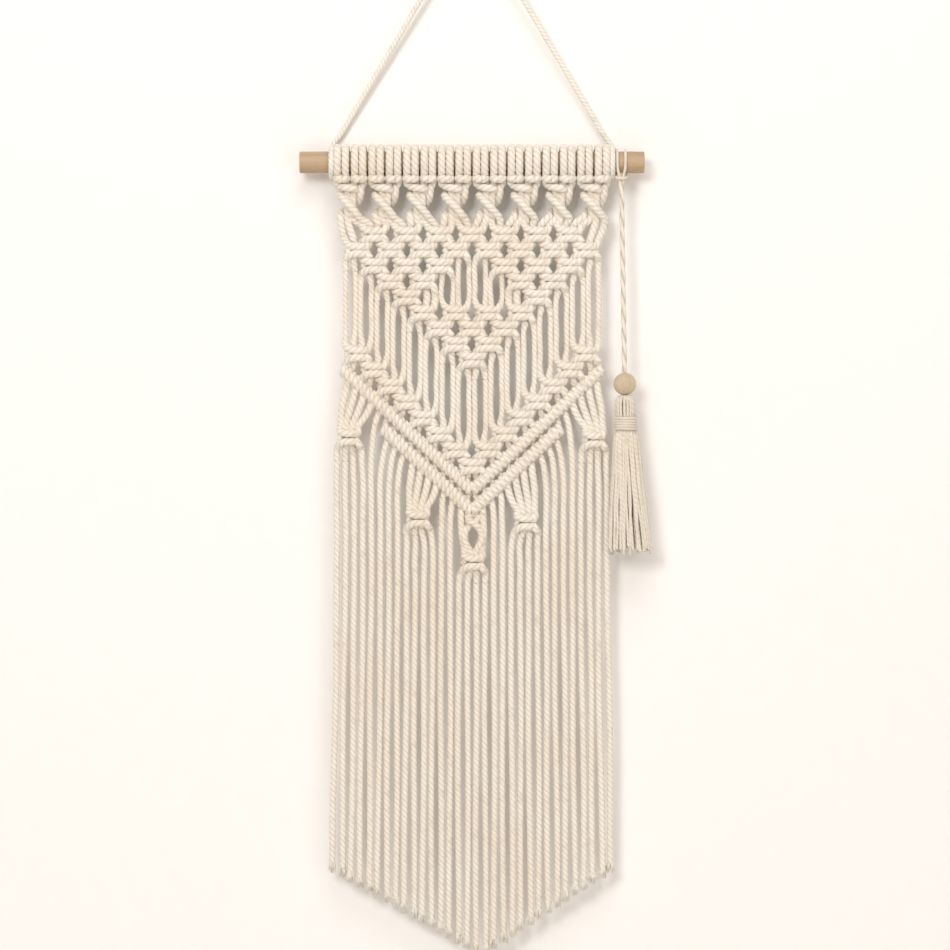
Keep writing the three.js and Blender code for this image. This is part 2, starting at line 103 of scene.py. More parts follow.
# radius of the rope in each place, as a share of half its diameter
KNOT_RADIUS = 1.19
SMALL_KNOT_RADIUS = 1.12
FREE_RADIUS = 0.88
HITCH_RADIUS = 0.98
FRINGE_RADIUS = 0.98
PAIRING = 1.15                      # how far paired strands move towards each other
MIDDLE = (STRANDS - 1) / 2
PLANE_Y = -4.0                      # middle plane of the knotted panel
LARK_PITCH = 15.37                  # from one folded rope to the next on the dowel
LARK_HALF_WIDTH = 6.2
LARK_DEPTH = 6                      # how far a lark's head stands out from the dowel
GAP = 0.3                           # left between pieces that do not touch
SPIRAL_BOTTOM = -53.0
PITCH = 7.2                         # from strand to strand in the panel
ROW = 13.848                        # from row to row in the net
NET_TOP = -64.5
NET_ROWS = (
    (2, 6, 10, 14, 18, 22, 26),
    (0, 4, 8, 12, 16, 20, 24, 28),
    (2, 6, 10, 18, 22, 26),
    (4, 8, 20, 24),
    (6, 22),
    (8, 12, 16, 20),
    (10, 14, 18),
    (12, 16),
    (14,),
)                                   # first strand of each square knot
CHEVRON_POINT = -268.98
CHEVRON_STEP = 14.148
BAR_SLOPE = 0.93
UPPER_POINT = -289.78               # where the upper diagonal bars meet
LOWER_POINT = -308.48
LOWER_OUTER_X = 79.6
LOWER_BAR_STRANDS = (5, 26)         # first and last strand that is hitched to the lower bars
UPPER_OUTER_X = 114.84
BAR_RADIUS = 3.2                    # of the rope inside a bar
HITCH_REACH = 3.3                   # from the bar's axis to the strand that is hitched round it
DECORATIVE = (
    # first strand, middle of the knot across, height
    (0, -108.7, -243.8),
    (8, -47.7, -315.8),
    (14, 1.0, -353.8),
    (20, 47.7, -318.8),
    (28, 108.0, -245.8),
)

# Fringe, as in the CAD model
BEND_Z = (FRINGE_BEND.z - DOWEL_AXIS_Z) / MM
BEND_GAP = 3.0 * math.tan(math.radians(30)) + 0.15
HINGE_PITCH = 7.71
END_PITCH = 7.93
FRINGE_SIDE = 246.0
FRINGE_POINT = 323.0
FRINGE_POINT_X = 8.8
FRINGE_STEPS = 6
SWAY = 0.7
SETTLING = ((0.09, 0.5), (0.24, 0.93), (0.6, 1.0))   # (share of the drop, share of the way across)
STAGGER = 1.1

# Routes of the rope inside each kind of knot: across, depth (towards the wall), up
LARKS_HEAD = np.array([
    (0, -11.2, -15.6), (2.4, -10.8, -15.6), (4.3, -7.6, -15.0), (4.4, -2.0, -13.6), (4.3, 6, -11.4),
    (4.0, 12.6, 0), (3.8, 9.2, 9.4), (3.6, 0, 12.9), (3.5, -9.2, 9.2), (3.5, -12.8, 0.4),
    (3.5, -10.6, -8.0), (3.6, -5.4, -13.6), (3.8, -3.6, -18.6),
])
SPIRAL_LEFT = np.array([
    (-8.6, -5.2, -21.2), (-3.6, -8.6, -23.2), (2.4, -8.8, -24.0), (5.6, -4.6, -25.4), (5.0, 1.5, -27.0),
    (0, 4.2, -28.0), (-6.4, 2.4, -28.6), (-8.8, -3.4, -29.6), (-6.0, -9.0, -33.4), (-1.0, -11.2, -38.4),
    (4.4, -9.8, -44.2), (9.2, -6.4, -50.4),
])                                  # once round the fillers, then the long diagonal to the right
SPIRAL_RIGHT = np.array([
    (9.6, -3.6, -22.0), (9.0, -3.4, -28.0), (7.6, 0.4, -33.8), (3.0, 4.4, -38.6), (-3.4, 4.4, -42.2),
    (-7.8, 0.8, -44.8), (-8.6, -3.8, -48.4),
])                                  # behind the fillers to the left
KNOT_LEFT = np.array([
    (-9.0, -3.0, 5.3), (-3.8, -5.7, 3.3), (0, -6.4, 3.1), (3.8, -5.8, 3.2), (6.9, -2.6, 2.4),
    (7.7, 0.6, 0), (6.9, -2.6, -2.4), (3.8, -5.8, -3.2), (0, -6.4, -3.1), (-3.8, -5.7, -3.3),
    (-9.0, -3.0, -5.3),
])
KNOT_RIGHT = np.array([
    (9.4, -4.0, 4.6), (6.6, 0.8, 1.6), (3.6, 5.6, 2.6), (0, 6.2, 2.2), (-3.8, 5.4, 1.6),
    (-7.3, 2.2, 1.2), (-8.8, -3.0, 0), (-7.3, 2.2, -1.2), (-3.8, 5.4, -1.6), (0, 6.0, -2.2),
    (3.6, 5.4, -2.6), (6.6, 0.8, -1.6), (9.4, -4.0, -4.6),
])
KNOT_CORE = np.array([(2.8, -0.4, 4.2), (2.7, -0.2, 0), (2.8, -0.4, -4.2)])


def strand_x(strand):
    return (strand - MIDDLE) * PITCH


def group_x(first):
    return strand_x(first + 1.5)


def hinge_x(strand):
    return (strand - MIDDLE) * HINGE_PITCH


def spiral_x(index):
    return (index - (ROPES / 2 - 1) / 2) * 2 * LARK_PITCH


def row_z(row):
    return NET_TOP - row * ROW


def chevron_z(first):
    return CHEVRON_POINT + abs(first - 14) / 2 * CHEVRON_STEP


def hung(points):
    """Millimetres from the dowel's axis to metres in the CAD frame."""
    return np.asarray(points, float) * MM + (0, 0, DOWEL_AXIS_Z)


def wave(seed, spread=1.0):
    """A repeatable number between -spread and spread for a whole-number seed."""
    return spread * (2 * ((math.sin(seed * 12.9898 + 4.1) * 43758.5453) % 1) - 1)


# ------------------------------------------------------------------ curves and swept surfaces

def smooth_path(control, spacing):
    """Points at even steps on a cubic through the control points, and where each control point lies.

    Each stretch is a Hermite cubic. Its slope at a control point is the mean of the two neighbouring
    chords' directions, each weighted by the other chord's length.
    """
    control = np.asarray(control, float)
    chord = np.diff(control, axis=0)
    length = np.linalg.norm(chord, axis=1)[:, None]
    heading = chord / length
    slope = np.empty_like(control)
    slope[0], slope[-1] = heading[0], heading[-1]
    slope[1:-1] = (heading[:-1] * length[1:] + heading[1:] * length[:-1]) / (length[1:] + length[:-1])
    t = np.linspace(0, 1, 24, endpoint=False)[None, :, None]
    a, b = control[:-1, None], control[1:, None]
    ma, mb = (slope[:-1] * length)[:, None], (slope[1:] * length)[:, None]
    dense = ((2 * t**3 - 3 * t**2 + 1) * a + (t**3 - 2 * t**2 + t) * ma
             + (3 * t**2 - 2 * t**3) * b + (t**3 - t**2) * mb).reshape(-1, 3)
    dense = np.vstack([dense, control[-1:]])
    run = np.concatenate([[0], np.cumsum(np.linalg.norm(np.diff(dense, axis=0), axis=1))])
    count = max(2, int(round(run[-1] / spacing)))
    stations = np.linspace(0, run[-1], count + 1)
    points = np.column_stack([np.interp(stations, run, dense[:, axis]) for axis in range(3)])
    return points, stations, run[::24]


def path_frames(points):
    """Two unit vectors across the path at each station, carried along it without spinning."""
    tangent = np.gradient(points, axis=0)
    tangent /= np.linalg.norm(tangent, axis=1)[:, None]
    start = np.cross(tangent[0], (0.0, 1.0, 0.0) if abs(tangent[0][1]) < 0.9 else (1.0, 0.0, 0.0))
    side = np.empty_like(points)
    side[0] = start / np.linalg.norm(start)
    for i in range(1, len(points)):
        carried = side[i - 1] - np.dot(side[i - 1], tangent[i]) * tangent[i]
        side[i] = carried / math.sqrt(np.dot(carried, carried))
    return side, np.cross(tangent, side)


class Surface:
    """Grids of points joined into one mesh, with a UV map and two attributes for the materials.

    "ply" is 1 on the crown of a ply and 0 in the groove between two, and the cotton paints shade into the
    grooves from it; "tone" differs from strand to strand.
    """

    def __init__(self):
        self.points, self.faces, self.uvs, self.ply, self.tone = [], [], [], [], []
        self.count = 0

    def add(self, points, faces, uv, ply=None, tone=0.5):
        """Points (n, 3), faces (m, 3 or 4) and the UV of every corner (m, 3 or 4, 2)."""
        self.points.append(points)
        self.faces.append(faces + self.count)
        self.uvs.append(uv)
        self.ply.append(np.ones(len(points)) if ply is None else ply)
        self.tone.append(np.full(len(points), tone))
        self.count += len(points)

    def tube(self, rings, stations, ply=None, tone=0.5):
        """A grid of rings (n, sides, 3) closed round each ring, with a fan over each end."""
        count, sides = rings.shape[:2]
        ring, side = np.meshgrid(np.arange(count - 1), np.arange(sides), indexing="ij")
        after = (side + 1) % sides
        quads = np.stack([ring * sides + side, ring * sides + after,
                          (ring + 1) * sides + after, (ring + 1) * sides + side], -1).reshape(-1, 4)
        low, high = side / sides, (side + 1) / sides
        v0, v1 = stations[ring], stations[ring + 1]
        uv = np.stack([np.stack([low, v0], -1), np.stack([high, v0], -1),
                       np.stack([high, v1], -1), np.stack([low, v1], -1)], 2).reshape(-1, 4, 2)
        points = np.vstack([rings.reshape(-1, 3), rings[0].mean(0), rings[-1].mean(0)])
        crown = np.ones(sides) if ply is None else ply
        # the caps get 0.6, so they take part of the shade painted into the grooves
        groove = np.concatenate([np.tile(crown, count), [0.6, 0.6]])
        self.add(points, quads, uv, groove, tone)
        base = self.count - len(points)
        here, there = np.arange(sides), (np.arange(sides) + 1) % sides
        last = (count - 1) * sides
        caps = np.vstack([
            np.column_stack([there, here, np.full(sides, count * sides)]),
            np.column_stack([last + here, last + there, np.full(sides, count * sides + 1)]),
        ]) + base
        self.faces.append(caps)
        self.uvs.append(np.zeros((len(caps), 3, 2)) + (0.5, stations[0]))

    def object(self, name, material, flip=False):
        mesh = bpy.data.meshes.new(name)
        points = np.vstack(self.points)
        corners = [faces[:, ::-1] if flip else faces for faces in self.faces]
        uvs = [uv[:, ::-1] if flip else uv for uv in self.uvs]
        totals = np.concatenate([np.full(len(faces), faces.shape[1]) for faces in corners])
        loops = np.concatenate([faces.ravel() for faces in corners])
        mesh.vertices.add(len(points))
        mesh.vertices.foreach_set("co", points.ravel().astype(np.float32))
        mesh.loops.add(len(loops))
        mesh.loops.foreach_set("vertex_index", loops.astype(np.int32))
        mesh.polygons.add(len(totals))
        starts = np.concatenate([[0], np.cumsum(totals)[:-1]])
        mesh.polygons.foreach_set("loop_start", starts.astype(np.int32))
        mesh.polygons.foreach_set("loop_total", totals.astype(np.int32))
        layer = mesh.uv_layers.new(name="UVMap")
        flat = np.concatenate([uv.reshape(-1, 2) for uv in uvs]).ravel()
        layer.data.foreach_set("uv", flat.astype(np.float32))
        for label, values in (("ply", self.ply), ("tone", self.tone)):
            attribute = mesh.attributes.new(label, "FLOAT", "POINT")
            attribute.data.foreach_set("value", np.concatenate(values).astype(np.float32))
        mesh.update(calc_edges=True)
        mesh.validate()
        mesh.polygons.foreach_set("use_smooth", np.ones(len(mesh.polygons), bool))
        mesh.materials.append(material)
        piece = bpy.data.objects.new(name, mesh)
        bpy.context.scene.collection.objects.link(piece)
        return piece


def rope_rings(points, stations, radius, plies, depth, lay, sides, phase=0.0):
    """Rings of a twisted rope, whose section is radius * (1 - depth * (1 - |cos(plies * angle / 2)|)).

    The section turns left-handed, once in each lay length, so that its ridges fall from upper left to
    lower right on a rope that hangs. Points are in millimetres and the rings in metres.
    """
    side, other = path_frames(points)
    angle = np.arange(sides) * 2 * math.pi / sides
    crown = np.abs(np.cos(plies * angle / 2))
    section = 1 - depth * (1 - crown)
    turn = angle[None, :] - 2 * math.pi * stations[:, None] / lay + phase
    reach = (np.asarray(radius) * np.ones(len(points)))[:, None] * section[None, :]
    rings = (points[:, None] + (reach * np.cos(turn))[..., None] * side[:, None]
             + (reach * np.sin(turn))[..., None] * other[:, None])
    return hung(rings), crown


def rope_tube(surface, control, radius, rope, spacing, sides=12, plies=3, depth=None, lay=None, phase=0.0,
              tone=0.5):
    """A rope along control points, closed flat at both ends; returns its centreline in metres."""
    points, stations, _ = smooth_path(control, spacing)
    depth = rope.ply_depth if depth is None else depth
    lay = rope.lay_length / MM if lay is None else lay
    rings, crown = rope_rings(points, stations, radius, plies, depth, lay, sides, phase)
    surface.tube(rings, stations * MM, crown, tone)
    return hung(points)


# ------------------------------------------------------------------ routes of the strands

def sized(points, radius):
    """Points with the rope's radius beside each."""
    return [(*point[:3], radius) for point in points]


def paired_x(strand):
    """On a long free stretch each odd strand and the next even one hang close together."""
    if strand in (0, STRANDS - 1):
        return strand_x(strand)
    return strand_x(strand) + (PAIRING if strand % 2 else -PAIRING)


def free_stretch(strand, top, bottom):
    """A hanging strand between two heights, beside its neighbour, with a slight sag to one side."""
    x, fall = paired_x(strand), top - bottom
    depth = PLANE_Y + (0.7 if strand % 2 else -0.7)
    points = [(x, depth, top - 0.14 * fall)]
    if fall > 30:
        points += [(x + wave(7 * strand, 0.5), depth, top - 0.38 * fall),
                   (x + wave(3 * strand, 0.5), depth, top - 0.64 * fall)]
    points.append((x, depth, bottom + 0.14 * fall))
    return sized(points, FREE_RADIUS)


def knot_role(strand, first):
    """The points that a strand takes inside a square knot, counted from the knot's middle."""
    place = strand - first
    if place == 0:
        return KNOT_LEFT
    if place == 3:
        return KNOT_RIGHT
    return KNOT_CORE * ((-1 if place == 1 else 1), 1, 1)


def through_knots(strand, knots):
    """A strand's points through square knots [(first strand, height)], from top to bottom."""
    x = strand_x(strand)
    points = []
    for number, (first, z) in enumerate(knots):
        if number:
            above = knots[number - 1][1]
            if above - z > 2 * ROW:
                points += free_stretch(strand, above - 0.5 * ROW, z + 0.5 * ROW)
            else:
                points += sized([(x, PLANE_Y - 0.6, (above + z) / 2)], KNOT_RADIUS)
        centre = np.array((group_x(first), PLANE_Y, z))
        points += sized(centre + knot_role(strand, first), KNOT_RADIUS)
    return points


def spiral_route(strand):
    """From the lark's head into a spiral: the outer two strands wind round the inner two and change sides."""
    sign = -1 if strand % 2 == 0 else 1
    centre = (strand // 2 - (ROPES - 1) / 2) * LARK_PITCH
    middle = np.array((spiral_x(strand // 4), PLANE_Y - 0.4, 0))
    place = strand % 4
    if place in (1, 2):
        inward = -1 if place == 1 else 1
        core = [(2.8 * inward, 0, -26.0), (2.2 * inward, 0.4, -38.0), (2.4 * inward, 0, -50.0)]
    else:
        core = SPIRAL_LEFT - (0, PLANE_Y, 0) if place == 0 else SPIRAL_RIGHT - (0, PLANE_Y, 0)
    head = LARKS_HEAD * (sign, 1, 1) + (centre, 0, 0)
    return sized(head, KNOT_RADIUS) + sized(middle + np.array(core), KNOT_RADIUS)


def bar_hitch(strand, point_z, outer_x, turns=1.5):
    """A strand's helix round a diagonal bar: one and a half turns show two ridges in front."""
    x = min(abs(strand_x(strand)), outer_x - 2.2) * (-1 if strand < STRANDS / 2 else 1)
    side = 1 if x > 0 else -1
    angle_of_bar = math.atan(BAR_SLOPE)
    along = np.array((-side * math.cos(angle_of_bar), 0, -math.sin(angle_of_bar)))
    upward = np.array((-side * math.sin(angle_of_bar), 0, math.cos(angle_of_bar)))
    centre = np.array((x, PLANE_Y, point_z + BAR_SLOPE * abs(x)))
    turn = np.linspace(-0.55, turns * 2 * math.pi + 0.55, 15)
    pitch = PITCH / math.cos(angle_of_bar) / 2
    slide = (turn / (2 * math.pi) - turns / 2) * pitch
    ring = HITCH_REACH * (np.cos(turn)[:, None] * upward + np.sin(turn)[:, None] * np.array((0, -1, 0)))
    return sized(centre + slide[:, None] * along + ring, HITCH_RADIUS)


def fringe_points(strand):
    """The strand below the line where the fringe bends, as the CAD model has it."""
    end_x = (strand - MIDDLE) * END_PITCH
    side = -1 if end_x < FRINGE_POINT_X else 1
    run = (MIDDLE + 0.5) * END_PITCH - side * FRINGE_POINT_X
    share = abs(end_x - FRINGE_POINT_X) / run
    top, bottom = BEND_Z - BEND_GAP, BEND_Z - (FRINGE_POINT + (FRINGE_SIDE - FRINGE_POINT) * share)
    t = np.arange(FRINGE_STEPS + 1) / FRINGE_STEPS
    early = np.clip(t / 0.35, 0, 1)
    grow = early * early * (3 - 2 * early)
    wander = SWAY * grow * np.sin(5.3 * t + 2.4 * strand)
    stagger = STAGGER * grow * (1 if strand % 2 else -1)
    return sized(zip(hinge_x(strand) + (end_x - hinge_x(strand)) * t + wander, PLANE_Y + stagger,
                     top + (bottom - top) * t), FRINGE_RADIUS)


def strand_route(start):
    """[(piece, points)] of one strand, from the bar of its lark's head to its cut end.

    The outer two strands of a spiral change sides in it.
    """
    route = [(f"spiral_cord_{start // 4 + 1}", spiral_route(start))]
    strand = start + {0: 3, 3: -3}.get(start % 4, 0)
    side = "left" if strand < STRANDS / 2 else "right"
    x = strand_x(strand)

    rows = [(first, row_z(row)) for row, firsts in enumerate(NET_ROWS) for first in firsts
            if first <= strand <= first + 3]
    entry = (x, PLANE_Y - 0.5, rows[0][1] + 0.6 * ROW)
    leave = (x, PLANE_Y, rows[-1][1] - 0.56 * ROW)
    route.append(("knot_net", sized([entry], KNOT_RADIUS) + through_knots(strand, rows)
                  + sized([leave], KNOT_RADIUS)))

    chevrons = sorted(((first, chevron_z(first)) for first in range(0, 29, 2)
                       if first <= strand <= first + 3), key=lambda knot: -knot[1])
    top_z = chevrons[0][1] + 0.56 * ROW
    free = free_stretch(strand, leave[2], top_z) if leave[2] - top_z > 16 else []
    entry = sized([(x, PLANE_Y, top_z)], KNOT_RADIUS) if leave[2] - top_z > 3 else []
    last = chevrons[-1:] if 14 <= strand <= 17 else []
    first_part = chevrons[:-1] if last else chevrons
    route.append((f"chevron_{side}", free + entry + through_knots(strand, first_part)))
    if last:
        joint = (x, PLANE_Y - 0.6, (chevrons[-2][1] + chevrons[-1][1]) / 2)
        route.append(("chevron_point", sized([joint], KNOT_RADIUS) + through_knots(strand, last)))

    route.append((f"hitch_bar_upper_{side}", bar_hitch(strand, UPPER_POINT, UPPER_OUTER_X)))
    if LOWER_BAR_STRANDS[0] <= strand <= LOWER_BAR_STRANDS[1]:
        route.append((f"hitch_bar_lower_{side}", bar_hitch(strand, LOWER_POINT, LOWER_OUTER_X)))
    exit_point = route[-1][1][-1]

    for number, (first, knot_x, knot_z) in enumerate(DECORATIVE, 1):
        if first <= strand <= first + 3:
            points = decorative_points(strand, strand - first, knot_x, knot_z, exit_point)
            route.append((f"decorative_knot_{number}", sized(points, SMALL_KNOT_RADIUS)))
            exit_point = points[-1]
    drop = exit_point[2] - BEND_Z
    hanging = []
    if drop > 18:
        reach = hinge_x(strand) - exit_point[0]
        hanging = [(exit_point[0] + reach * across + wave(5 * strand + k, 0.4),
                    exit_point[1] + (PLANE_Y - exit_point[1]) * across, exit_point[2] - drop * down)
                   for k, (down, across) in enumerate(SETTLING)]
    hanging.append((hinge_x(strand), PLANE_Y, BEND_Z))
    route.append((f"fringe_cord_{strand + 1:02d}", sized(hanging, FRINGE_RADIUS) + fringe_points(strand)))
    return route


def decorative_points(strand, place, knot_x, knot_z, exit_point):
    """Four strands gather into one square knot; the middle knot's inner pair opens into a teardrop first."""
    centre = np.array((knot_x, PLANE_Y - 1.0, knot_z))
    offsets = knot_role(strand, strand - place) * (0.86, 1.1, 1.08)
    across = (-7.4, -2.7, 2.7, 7.8)[place]
    above = (knot_x + across, PLANE_Y - 0.5, knot_z + 9.4)
    drop = exit_point[2] - above[2]
    points = []
    if knot_x == DECORATIVE[2][1] and place in (1, 2):
        turn = -1 if place == 1 else 1
        depth = PLANE_Y + (0.6 if place == 1 else -3.6)
        points = [(knot_x - 4.6 * turn, depth, exit_point[2] - 5.5),
                  (knot_x + 2.4 * turn, depth, LOWER_POINT - 12),
                  (knot_x + 7.4 * turn, PLANE_Y - 1.5, LOWER_POINT - 20),
                  (knot_x + 6.9 * turn, PLANE_Y - 1, LOWER_POINT - 28)]
    elif drop > 8:
        middle = (exit_point[0] * 0.45 + above[0] * 0.55 + (-1.2, -0.3, 0.3, 1.2)[place], PLANE_Y,
                  exit_point[2] - 0.6 * drop)
        points = [(exit_point[0] * 0.85 + middle[0] * 0.15, PLANE_Y, exit_point[2] - 0.2 * drop), middle]
    below = (knot_x + (-10.4, -3.1, 3.1, 10.8)[place], PLANE_Y, knot_z - 9.2)
    return points + [above] + [tuple(centre + offset) for offset in offsets] + [below]


def rope_pieces(rope):
    """Every rope swept once from cut end to cut end, then shared out by piece.

    Returns {piece: [(rings, stations, crown, tone)]} and {fringe cord: its centreline from the exit down}.
    """
    shares, lines = {}, {}
    lay = rope.lay_length / MM
    for index in range(ROPES):
        left, right = strand_route(2 * index), strand_route(2 * index + 1)
        spans = [(name, len(points)) for name, points in reversed(left)]
        spans[-1] = (spans[-1][0], spans[-1][1] - 1)
        spans += [(name, len(points)) for name, points in right]
        control = [point for _, points in reversed(left) for point in reversed(points)][:-1]
        control += [point for _, points in right for point in points]
        control = np.array(control)
        points, stations, marks = smooth_path(control[:, :3], rope.ring_step / MM)
        radius = np.interp(stations, marks, control[:, 3]) * rope.diameter / MM / 2
        rings, crown = rope_rings(points, stations, radius, 3, rope.ply_depth, lay, rope.section_sides,
                                  phase=1.7 * index)
        first = 0
        start = 0
        for name, count in spans:
            first += count
            end_mark = marks[min(first, len(marks) - 1)]
            end = len(stations) - 1 if first >= len(marks) - 1 else int(np.searchsorted(stations, end_mark))
            piece = (rings[start:end + 1], stations[start:end + 1] * MM, crown, 0.5 + wave(index, 0.35))
            shares.setdefault(name, []).append(piece)
            if name.startswith("fringe_cord"):
                line = hung(points[start:end + 1])
                lines[name] = line[::-1] if start == 0 else line
            start = end
    return shares, lines


SWEPT = {}


def shared_ropes(scene):
    """The swept ropes, worked out once for a set of sizes and used by every operator that needs a share."""
    rope = scene.hanging_rope
    sizes = (rope.diameter, rope.lay_length, rope.ply_depth, rope.ring_step, rope.section_sides)
    if sizes not in SWEPT:
        SWEPT.clear()
        SWEPT[sizes] = rope_pieces(rope)
    return SWEPT[sizes]


def rope_piece(scene, name):
    """The share of every rope that belongs to one piece, as one surface."""
    surface = Surface()
    for rings, stations, crown, tone in shared_ropes(scene)[0][name]:
        surface.tube(rings, stations, crown, tone)
    return surface


# ------------------------------------------------------------------ materials

def socket(group, name, direction, kind, default=None):
    made = group.interface.new_socket(name=name, in_out=direction, socket_type=kind)
    if default is not None:
        made.default_value = default
    return made


class Nodes:
    """Short calls for the nodes of one tree."""

    def __init__(self, tree):
        self.tree = tree

    def new(self, kind, inputs=(), **values):
        node = self.tree.nodes.new(kind)
        for label, value in values.items():
            setattr(node, label, value)
        for label, value in dict(inputs).items():
            self.feed(node.inputs[label], value)
        return node

    def feed(self, target, value):
        if isinstance(value, bpy.types.NodeSocket):
            self.tree.links.new(value, target)
        else:
            target.default_value = value

    def math(self, operation, first, second=0.0, clamp=False):
        node = self.new("ShaderNodeMath", {0: first, 1: second}, operation=operation)
        node.use_clamp = clamp
        return node.outputs[0]

    def mix(self, share, first, second):
        node = self.new("ShaderNodeMix", data_type="RGBA")
        self.feed(node.inputs[0], share)
        self.feed(node.inputs[6], first)
        self.feed(node.inputs[7], second)
        return node.outputs[2]

    def remap(self, value, low, high, to_low, to_high):
        return self.new("ShaderNodeMapRange", {"Value": value, "From Min": low, "From Max": high,
                                               "To Min": to_low, "To Max": to_high}).outputs[0]


def give_finish(n, colour, rough, height):
    """Ends a node group with the three values that a finish hands to its material."""
    socket(n.tree, "Colour", "OUTPUT", "NodeSocketColor")
    socket(n.tree, "Roughness", "OUTPUT", "NodeSocketFloat")
    socket(n.tree, "Height", "OUTPUT", "NodeSocketFloat")
    out = n.new("NodeGroupOutput")
    for label, value in (("Colour", colour), ("Roughness", rough), ("Height", height)):
        n.tree.links.new(value, out.inputs[label])
    return n.tree


def take_finish(n, shader, effect, bump, distance, specular):
    """Leads a node group's three values into the Principled BSDF, the height through a bump."""
    lift = n.new("ShaderNodeBump",
                 {"Height": effect.outputs["Height"], "Strength": bump, "Distance": distance})
    n.feed(shader.inputs["Base Color"], effect.outputs["Colour"])
    n.feed(shader.inputs["Roughness"], effect.outputs["Roughness"])
    n.feed(shader.inputs["Normal"], lift.outputs["Normal"])
    shader.inputs["Specular IOR Level"].default_value = specular


def cotton_group():
    """Twisted cotton: yarns that run along each ply, shade painted into the grooves between plies, and slow
    changes of tone.
    """
    group = bpy.data.node_groups.new("twisted_cotton", "ShaderNodeTree")
    for name, kind, default in (
            ("Light", "NodeSocketColor", (0.9, 0.86, 0.78, 1)),
            ("Shade", "NodeSocketColor", (0.6, 0.5, 0.38, 1)),
            ("Warm", "NodeSocketColor", (0.85, 0.76, 0.62, 1)),
            ("Yarns", "NodeSocketFloat", 26.0),
            ("Slant", "NodeSocketFloat", 900.0),
            ("Groove Shade", "NodeSocketFloat", 0.6)):
        socket(group, name, "INPUT", kind, default)
    n = Nodes(group)
    given = n.new("NodeGroupInput").outputs
    place = n.new("ShaderNodeTexCoord")
    ply = n.new("ShaderNodeAttribute", attribute_name="ply").outputs["Fac"]
    tone = n.new("ShaderNodeAttribute", attribute_name="tone").outputs["Fac"]
    uv = n.new("ShaderNodeSeparateXYZ", {0: place.outputs["UV"]})
    around = n.math("MULTIPLY", uv.outputs[0], 2 * math.pi)
    slant = n.math("MULTIPLY", uv.outputs[1], given["Slant"])
    # yarn lines: a wave round the rope that drifts along it, broken up by noise
    fuzz = n.new("ShaderNodeTexNoise", {"Vector": place.outputs["Object"], "Scale": 900.0, "Detail": 3.0})
    spread = n.new("ShaderNodeTexNoise", {"Vector": place.outputs["Object"], "Scale": 260.0, "Detail": 2.0})
    drift = n.math("ADD", n.math("MULTIPLY", around, given["Yarns"]), slant)
    drift = n.math("ADD", drift, n.math("MULTIPLY", spread.outputs["Fac"], 7.0))
    yarn = n.math("MULTIPLY_ADD", n.math("SINE", drift), 0.5)
    yarn.node.inputs[2].default_value = 0.5
    patch = n.new("ShaderNodeTexNoise", {"Vector": place.outputs["Object"], "Scale": 16.0, "Detail": 3.0})
    fleck = n.new("ShaderNodeTexNoise", {"Vector": place.outputs["Object"], "Scale": 130.0, "Detail": 4.0})
    # painted shade: the grooves between plies are darkened towards the Shade colour, standing in for the
    # shadow that falls there
    depth = n.math("POWER", n.math("SUBTRACT", 1.0, ply), 1.5)
    dark = n.math("MULTIPLY", depth, given["Groove Shade"], clamp=True)
    warmth = n.math("ADD", n.remap(patch.outputs["Fac"], 0.35, 0.68, 0.0, 0.65),
                    n.remap(tone, 0.0, 1.0, 0.0, 0.35), clamp=True)
    body = n.mix(warmth, given["Light"], given["Warm"])
    body = n.mix(n.remap(fleck.outputs["Fac"], 0.55, 0.78, 0.0, 0.35), body, given["Shade"])
    # painted shade: the dips between yarn lines are darkened a little towards the Shade colour
    body = n.mix(n.math("MULTIPLY", n.math("SUBTRACT", 1.0, yarn), 0.16), body, given["Shade"])
    colour = n.mix(dark, body, given["Shade"])
    rough = n.remap(fuzz.outputs["Fac"], 0.3, 0.7, 0.86, 0.98)
    height = n.math("ADD", n.math("MULTIPLY", yarn, 0.55), n.math("MULTIPLY", fuzz.outputs["Fac"], 0.7))
    return give_finish(n, colour, rough, height)


def wood_group():
    """Pale sanded wood: long fine grain lines, broader growth bands, pores and a few darker streaks."""
    group = bpy.data.node_groups.new("sanded_wood", "ShaderNodeTree")
    for name, kind, default in (
            ("Vector", "NodeSocketVector", None),
            ("Pale", "NodeSocketColor", (0.8, 0.62, 0.4, 1)),
            ("Dark", "NodeSocketColor", (0.55, 0.36, 0.19, 1)),
            ("Streak", "NodeSocketFloat", 0.5)):
        socket(group, name, "INPUT", kind, default)
    n = Nodes(group)
    given = n.new("NodeGroupInput").outputs
    bands = n.new("ShaderNodeTexNoise",
                  {"Vector": given["Vector"], "Scale": 1.0, "Detail": 4.0, "Distortion": 0.4})
    fine = n.new("ShaderNodeTexNoise",
                 {"Vector": given["Vector"], "Scale": 5.0, "Detail": 5.0, "Roughness": 0.7})
    pores = n.new("ShaderNodeTexNoise", {"Vector": given["Vector"], "Scale": 14.0, "Detail": 2.0})
    growth = n.remap(bands.outputs["Fac"], 0.4, 0.62, 0.0, 1.0)
    streak = n.math("MULTIPLY", growth, given["Streak"], clamp=True)
    body = n.mix(streak, given["Pale"], given["Dark"])
    body = n.mix(n.remap(fine.outputs["Fac"], 0.45, 0.75, 0.0, 0.45), body, given["Dark"])
    colour = n.mix(n.remap(pores.outputs["Fac"], 0.64, 0.74, 0.0, 0.5), body, given["Dark"])
    rough = n.remap(fine.outputs["Fac"], 0.3, 0.7, 0.42, 0.6)
    height = n.math("SUBTRACT", n.math("MULTIPLY", fine.outputs["Fac"], 0.6),
                    n.remap(pores.outputs["Fac"], 0.62, 0.74, 0.0, 0.5))
    return give_finish(n, colour, rough, height)


def new_material(name):
    material = bpy.data.materials.new(name)
    material.use_nodes = True
    tree = material.node_tree
    return material, Nodes(tree), tree.nodes["Principled BSDF"]
